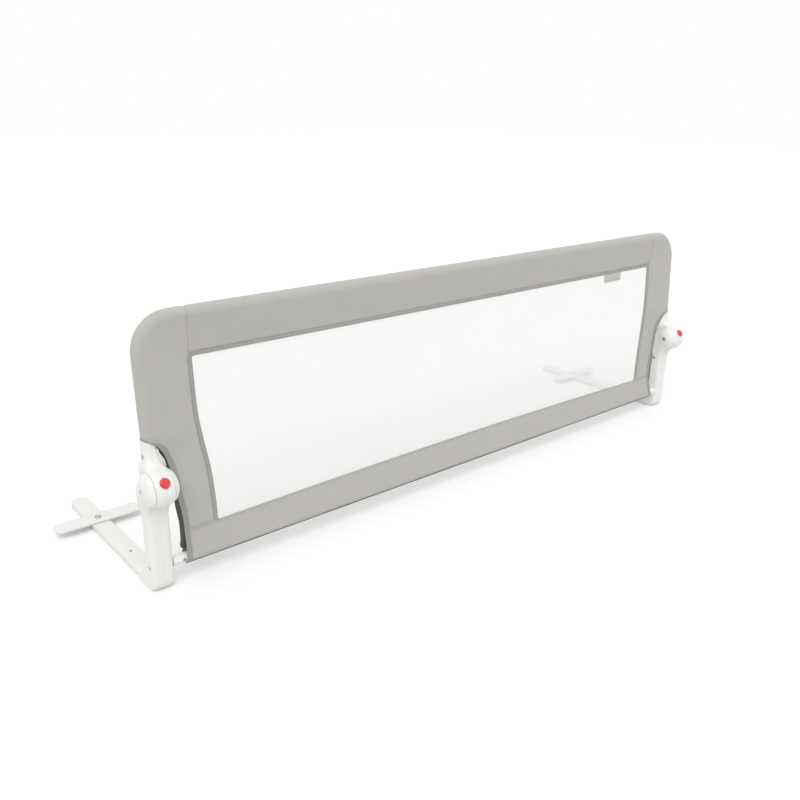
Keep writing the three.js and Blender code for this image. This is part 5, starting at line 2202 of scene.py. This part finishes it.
@dataclass
class Studio:
    """The floor, the soft light and the camera of the photograph."""

    lens: float = 37.15
    sensor: float = 36
    clip: Pair = (0.05, 60)
    yaw: float = 0.708
    pitch: float = 0.356
    roll: float = 0.019
    spot: Vector = field(default_factory=lambda: Vector((-1.248838, -1.391244, 0.825292)))
    floor_size: float = 30
    floor_drop: float = 0.0005
    floor_glow: float = 0.15
    ambient: float = 0.59
    lamps: tuple[Lamp, ...] = (
        Lamp("Key", Vector((-1.5, -1.35, 2.7)), 1.5, 44),
        Lamp("Fill", Vector((2.2, -1.6, 1.5)), 0.42, 70),
        Lamp("Back", Vector((0.2, 1.3, 2.8)), 0.42, 60),
    )

    def camera(self) -> None:
        """Set the camera at the photograph's viewing angle."""
        (cy, sy), (cp, sp) = ((math.cos(a), math.sin(a)) for a in (self.yaw, self.pitch))
        ahead = Vector((sy * cp, cy * cp, -sp))
        right = Vector((cy, -sy, 0))
        down = ahead.cross(right)
        turn, lift = math.cos(self.roll), math.sin(self.roll)
        across, below = right * turn - down * lift, right * lift + down * turn
        data = bpy.data.cameras.new("Camera")
        data.lens, data.sensor_width, data.sensor_fit = self.lens, self.sensor, "HORIZONTAL"
        data.clip_start, data.clip_end = self.clip
        camera = bpy.data.objects.new("Camera", data)
        frame_axes = Matrix((across, -below, -ahead)).transposed().to_4x4()
        camera.matrix_world = Matrix.Translation(self.spot) @ frame_axes
        bpy.context.scene.collection.objects.link(camera)
        bpy.context.scene.camera = camera

    @staticmethod
    def seen(graph: Graph) -> Socket:
        """Return 1 for what the camera sees, straight or by gloss or glass, and 0 for light."""
        path = graph.add("ShaderNodeLightPath").outputs
        first = graph.math("MAXIMUM", path["Is Camera Ray"], path["Is Glossy Ray"])
        return graph.math("MAXIMUM", first, path["Is Transmission Ray"])

    def floor(self) -> None:
        """Lay the pale floor, which keeps the object's shadow."""
        name, add = "Floor", bpy.ops.mesh.primitive_plane_add
        floor = Bench.started(name, add, size=self.floor_size, location=(0, 0, -self.floor_drop))
        material = bpy.data.materials.new("Pale floor")
        material.use_nodes = True
        graph = Graph(material.node_tree)
        graph.tree.nodes.clear()
        diffuse = graph.add("ShaderNodeBsdfDiffuse", {"Color": rgba((0.8, 0.8, 0.8))})
        strength = graph.product(self.seen(graph), self.floor_glow)
        glow = graph.add("ShaderNodeEmission", {"Strength": strength})
        both = graph.add("ShaderNodeAddShader", {0: diffuse.outputs[0], 1: glow.outputs[0]})
        graph.add("ShaderNodeOutputMaterial", {"Surface": both.outputs[0]})
        floor.data.materials.append(material)

    def world(self) -> None:
        """Set a white background over soft, even light."""
        world = bpy.data.worlds.new("Studio")
        bpy.context.scene.world = world
        world.use_nodes = True
        graph = Graph(world.node_tree)
        graph.tree.nodes.clear()
        lit = graph.math("MULTIPLY_ADD", self.seen(graph), 1 - self.ambient, self.ambient)
        feeds = {"Color": rgba((1, 1, 1)), "Strength": lit}
        background = graph.add("ShaderNodeBackground", feeds)
        graph.add("ShaderNodeOutputWorld", {"Surface": background.outputs[0]})

    def build(self) -> None:
        """Set up the whole studio."""
        bpy.context.scene.view_settings.view_transform = "Standard"
        self.camera()
        self.floor()
        self.world()
        for lamp in self.lamps:
            lamp.build()


@dataclass(frozen=True)
class ClothSize:
    """What a cloth piece was cut to before it was sewn, in metres, and what carries it."""

    piece: str
    flat: Pair
    held: str
    rests_on: str
    area: float | None = None

    def declare(self) -> None:
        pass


CLOTH_SIZES = (
    ClothSize("top_band_sewn", (0.175, 1.324), "folded", "top_tube"),
    ClothSize("bottom_band_sewn", (0.147, 1.41), "folded", "lower_tube_left"),
    ClothSize("left_side_band_sewn", (0.235, 0.43), "folded", "left_side_tube", 0.0687),
    ClothSize("right_side_band_sewn", (0.235, 0.43), "folded", "right_side_tube", 0.0687),
    ClothSize("label_tab_sewn", (0.066, 0.02), "hung", "window_binding_sewn"),
    ClothSize("mesh_window_stretched", (1.32, 0.32), "stretched", "window_binding_sewn"),
)


@dataclass
class Cover:
    """The fabric cover and everything sewn to it."""

    plan: Plan
    made: dict[str, Material]
    window: Window = field(default_factory=Window)

    def __post_init__(self) -> None:
        """Plan the cloth, the bands and the trim."""
        self.cloth = Cloth(self.plan)
        self.bands = Bands(self.cloth, self.window)
        self.trim = Trim(self.cloth, self.window)

    def finish(
        self, piece: Piece, slot: str, body: str, nodes: Sequence[str] = (), material: str = ""
    ) -> None:
        """Dress a piece, and let it ride a body, or with FOLD bake its place into its mesh.

        Args:
            piece: The finished mesh.
            slot: The record's slot.
            body: The body that it rides, or FOLD to bake its place into its mesh instead.
            nodes: The nodes that it stands for.
            material: The finish, where it isn't the slot's own.
        """
        dressed(piece, self.made[material or slot], slot, nodes)
        if body == FOLD:
            self.cloth.folded(piece)
        else:
            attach(piece, body)

    def both(
        self, piece: Piece, name: str, slot: str, nodes: Sequence[str], material: str = ""
    ) -> None:
        """Place a piece at both ends, mirrored for the left, its place baked into its mesh."""
        for side in Side:
            copy = Bench.copied(piece, f"{side.word}_{name}", MIRROR if side is Side.LEFT else None)
            self.finish(copy, slot, FOLD, [f"{side.word}_{node}" for node in nodes], material)
        bpy.data.meshes.remove(piece.data)

    def build(self) -> None:
        """Sew the cover."""
        bands, trim = self.bands, self.trim
        self.finish(bands.top_band(), "grey_fabric", "guard", ["top_band"])
        self.finish(bands.bottom_band(), "grey_fabric", "base", ["bottom_band"])
        nodes = ["side_band_upper", "side_band_lower"]
        self.both(bands.side_band(), "side_band_sewn", "grey_fabric", nodes)
        # The dark strips along the cut-outs are painted shade for the sleeve's shadowed inside;
        # they replace these frame nodes.
        nodes = ["closure_strip_upper", "closure_strip_lower"]
        self.both(trim.closure(), "closure_strip_sewn", "closure_tape", nodes)
        self.both(bands.cutout_tape(), "cutout_tape_sewn", "binding_tape", (), "edge_tape")
        # A dark strip under the hem: painted shade.
        self.finish(bands.hem_closure(), "closure_tape", "base")
        nodes = ["window_binding_upper", "window_binding_lower"]
        self.finish(trim.binding(), "binding_tape", FOLD, nodes)
        nodes = ["mesh_window_upper", "mesh_window_lower"]
        self.finish(trim.mesh(), "white_mesh", FOLD, nodes)
        self.finish(trim.label_tab(), "label_tape", "guard", ["label_tab"])
        self.finish(trim.binding_stitches(), "binding_tape", FOLD, (), "thread")
        self.finish(trim.label_stitches(), "label_tape", "guard", (), "thread")
        self.finish(trim.low_stitches(bands), "binding_tape", "base", (), "thread")
        self.both(trim.seam_stitches(bands), "seam_stitches", "binding_tape", (), "thread")
        for size in CLOTH_SIZES:
            size.declare()


def dress_tubes(made: dict[str, Material]) -> None:
    """Give the tubes and lock bars that stay their own materials."""
    for name, node in frame["nodes"].items():
        if node.hide_render:
            continue
        part = name.split("_", 1)[1]
        slot = PIECE_SLOTS.get(part, "white_metal")
        if not node.data.materials:
            node.data.materials.append(made[slot])
        for i in range(len(node.material_slots)):
            node.material_slots[i].material = made[slot]
        LOG.info("%s keeps its shape, in %s", name, slot)


def main() -> None:
    """Build the studio, both ends and the cover, in order."""
    logging.basicConfig(level=logging.INFO, format="%(name)s: %(message)s")
    Studio().build()
    made = finishes()
    Ends(PLAN, made).build()
    Cover(PLAN, made).build()
    dress_tubes(made)


if __name__ == "__main__":
    main()
